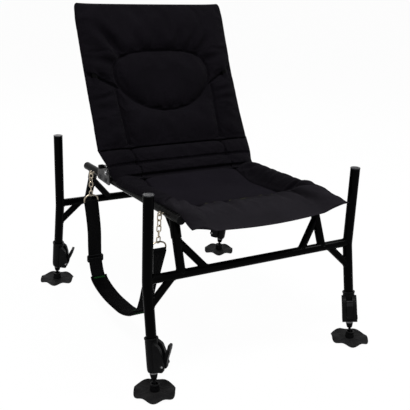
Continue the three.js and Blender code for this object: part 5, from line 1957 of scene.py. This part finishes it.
def rail_eye(y, z):
    """The eye screw on the rail that a chain hangs from."""
    radius, turns = 0.0045, np.arange(24) * math.pi / 12
    ring = [(STRAP_X + radius * math.cos(t), y, z + radius * math.sin(t)) for t in turns]
    eye = swept(np.array(ring), circle(0.0016, 10), closed=True)
    return eye + tube([(-0.2173, y, z), (-0.2235, y, z)], 0.002, 20, 0.0004)


class CHAIR_OT_strap(ChairOperator):
    """Build the carrying strap, its buckle, chains and shoulder pad"""

    bl_idname = "chair.strap"
    bl_label = "Carrying Strap"

    def execute(self, context):
        self.webbing()
        self.buckle()
        self.chains()
        self.shoulder_pad(context.scene.chair_cushions)
        return {"FINISHED"}

    def webbing(self):
        """The strap, with both its ends folded round the rings and sewn back on it."""
        main = [*REAR_FOLD[:3][::-1], *STRAP_ROUTE[1:-1], *FRONT_FOLD[:3]]
        made = band(main, WEBBING_WIDTH)
        for layer in ([*REAR_FOLD[2:], *REAR_LAYER], [*FRONT_FOLD[2:], *FRONT_LAYER]):
            made += band(layer, WEBBING_WIDTH - 0.001)
        rigid_piece("webbing_strap", made, "Strap webbing", "base", "carry_strap")

    def buckle(self):
        y, z = STRAP_ROUTE[SLIDER_POINT]
        loop = [(STRAP_X + x, y, z + up) for x, up in rounded(oblong(0.0225, 0.0095), 0.004, 5)]
        section = rounded(oblong(0.0017, 0.0036), 0.0012, 3)
        made = swept(np.array(loop), section, closed=True, start=(0, 0, 1))
        made += tube([(STRAP_X + x, y, z) for x in (-0.021, 0.021)], 0.002, 16)
        rigid_piece("strap_buckle", made, "Black plastic", "base", "strap_slider")

    def chains(self):
        for name, eye, ring in CHAINS:
            made = chain_between((eye[0], eye[1] - 0.002), (ring[0], ring[1] + 0.0085))
            made += rail_eye(*eye) + strap_ring(*ring)
            rigid_piece(f"strap_chain_{name}", made, "Chain nickel", "base", f"chain_{name}")

    def shoulder_pad(self, c):
        """The pad on the strap, with a quilted line near each edge and green bar tacks."""
        first, last = PAD_POINTS
        start = mix(np.array(STRAP_ROUTE[first]), np.array(STRAP_ROUTE[first - 1]), 0.5)
        line = strap_line([tuple(start), *STRAP_ROUTE[first:last + 1]], 10)
        thick = mix(0.005, 0.012, plump(np.linspace(-1, 1, len(line)), 4))
        normals, others = side_directions(line, start=(1, 0, 0))
        stops = pad_stops(30)
        quilt = 1 - 0.16 * np.exp(-(((np.abs(stops) - 0.78) / 0.05) ** 2))
        rings = []
        for place, normal, other, size in zip(line, normals, others, thick):
            face = size / 2 * plump(stops, 7) * quilt
            middle = place + stops[:, None] * PAD_HALF_WIDTH * normal
            there, again = middle + face[:, None] * other, middle - face[:, None] * other
            rings.append(np.vstack([there, again[1:-1][::-1]]))
        pad = new_object("shoulder_cushion", closed_skin(rings))
        dressed(pad, "Pad fabric", 50)
        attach(pad, "base")
        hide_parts("shoulder_pad")
        surface = mesh_shape(pad)
        thread, green = Shape(), Shape()
        for edge in (-0.0195, 0.0195):
            for face in (-0.01, 0.01):
                path = line + normals * edge + others * face
                thread += stitches(surface, path[3:-3], c.stitch, c.thread)
        for end in (3, 5, -4, -6):
            for face in (-0.01, 0.01):
                path = [line[end] + normals[end] * x + others[end] * face for x in (-0.02, 0.02)]
                green += stitches(surface, np.array(path), 0.003, c.thread * 2)
        thread_piece("pad_thread", thread, "Black thread", "base")
        thread_piece("pad_bar_tacks", green, "Green thread", "base")


# Stage

LAMPS = (
    # name, place, what it points at, width and power
    ("Key light", (-0.9, -1.1, 3.5), (0, 0, 0.4), 1.3, 115),
    ("Fill light", (1.9, -0.9, 2.9), (0, 0, 0.3), 1.1, 50),
    ("Rim light", (0.6, 2.8, 2.6), (0, 0, 0.5), 1.2, 60),
)


def stage_material(name, colour, plain_share):
    """White diffuse that the camera, gloss and glass see partly as plain white."""
    material = bpy.data.materials.new(name)
    material.use_nodes = True
    nodes = material.node_tree.nodes
    nodes.remove(nodes["Principled BSDF"])
    n = Nodes(material.node_tree)
    share = n.times(n.unlit(), plain_share)
    diffuse = n.add("ShaderNodeBsdfDiffuse", {"Color": colour}).outputs[0]
    glow = n.add("ShaderNodeEmission", {"Color": (1, 1, 1, 1), "Strength": 1.0}).outputs[0]
    mixed = n.add("ShaderNodeMixShader", {0: share, 1: diffuse, 2: glow}).outputs[0]
    n.feed(nodes["Material Output"], {0: mixed})
    return material


def area_light(name, place, target, size, power):
    data = bpy.data.lights.new(name, "AREA")
    data.shape, data.size, data.energy = "DISK", size, power
    lamp = bpy.data.objects.new(name, data)
    lamp.location = place
    lamp.rotation_euler = (Vector(target) - Vector(place)).to_track_quat("-Z", "Y").to_euler()
    bpy.context.scene.collection.objects.link(lamp)


def make_camera(stage):
    a, e = stage.azimuth, stage.elevation
    back = Vector((math.sin(a) * math.cos(e), -math.cos(a) * math.cos(e), math.sin(e)))
    right = Vector((math.cos(a), math.sin(a), 0))
    up = back.cross(right)
    c, s = math.cos(stage.roll), math.sin(stage.roll)
    across, rise = right * c + up * s, up * c - right * s
    turn = Matrix((across, rise, back)).transposed().to_4x4()
    data = bpy.data.cameras.new("Camera")
    data.lens, data.sensor_width = stage.lens, 36.0
    camera = bpy.data.objects.new("Camera", data)
    camera.matrix_world = Matrix.Translation(stage.place) @ turn
    bpy.context.scene.collection.objects.link(camera)
    bpy.context.scene.camera = camera


def make_world(strength):
    """White surroundings that light the chair at a strength and are seen as plain white."""
    world = bpy.data.worlds.new("Studio")
    world.use_nodes = True
    bpy.context.scene.world = world
    n = Nodes(world.node_tree)
    level = n.plus(n.times(n.unlit(), 1.0 - strength), strength)
    n.feed(world.node_tree.nodes["Background"], {"Color": (1, 1, 1, 1), "Strength": level})


class CHAIR_OT_stage(ChairOperator):
    """Set up the camera, the floor and the studio light"""

    bl_idname = "chair.stage"
    bl_label = "Stage"

    def execute(self, context):
        stage = context.scene.chair_stage
        make_camera(stage)
        make_world(stage.sky)
        context.scene.view_settings.view_transform = "Standard"
        disk = turned([(0, 0), (30, 0)], 96).placed(Matrix.Translation((0, 0, -0.0004)))
        floor = new_object("studio_floor", disk)
        floor.data.materials.append(stage_material("Studio floor", (0.68, 0.68, 0.68, 1), 0.97))
        for lamp in LAMPS:
            area_light(*lamp)
        return {"FINISHED"}


OPERATORS = (
    CHAIR_OT_stage, CHAIR_OT_finishes, CHAIR_OT_strap, CHAIR_OT_base, CHAIR_OT_rails,
    CHAIR_OT_hinges, CHAIR_OT_legs, CHAIR_OT_hoop, CHAIR_OT_cushions,
)


class CHAIR_PT_panel(bpy.types.Panel):
    """Lists the chair's sizes and the steps that build it"""

    bl_idname = "CHAIR_PT_panel"
    bl_label = "Fishing Chair"
    bl_space_type = "VIEW_3D"
    bl_region_type = "UI"
    bl_category = "Chair"

    def draw(self, context):
        for operator in OPERATORS:
            self.layout.operator(operator.bl_idname, text=operator.bl_label)
        for name, group in GROUPS.items():
            box = self.layout.box()
            for field in group.__annotations__:
                box.prop(getattr(context.scene, name), field)


def register():
    for group in GROUPS.values():
        bpy.utils.register_class(group)
    for operator in OPERATORS:
        bpy.utils.register_class(operator)
    bpy.utils.register_class(CHAIR_PT_panel)
    for name, group in GROUPS.items():
        setattr(bpy.types.Scene, name, PointerProperty(type=group))


def unregister():
    for name in GROUPS:
        delattr(bpy.types.Scene, name)
    bpy.utils.unregister_class(CHAIR_PT_panel)
    for operator in reversed(OPERATORS):
        bpy.utils.unregister_class(operator)
    for group in reversed(GROUPS.values()):
        bpy.utils.unregister_class(group)


def main():
    register()
    for operator in OPERATORS:
        group, action = operator.bl_idname.split(".")
        result = getattr(getattr(bpy.ops, group), action)()
        if result != {"FINISHED"}:
            raise RuntimeError(f"{operator.bl_idname} did not finish")
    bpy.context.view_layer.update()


if __name__ == "__main__":
    main()
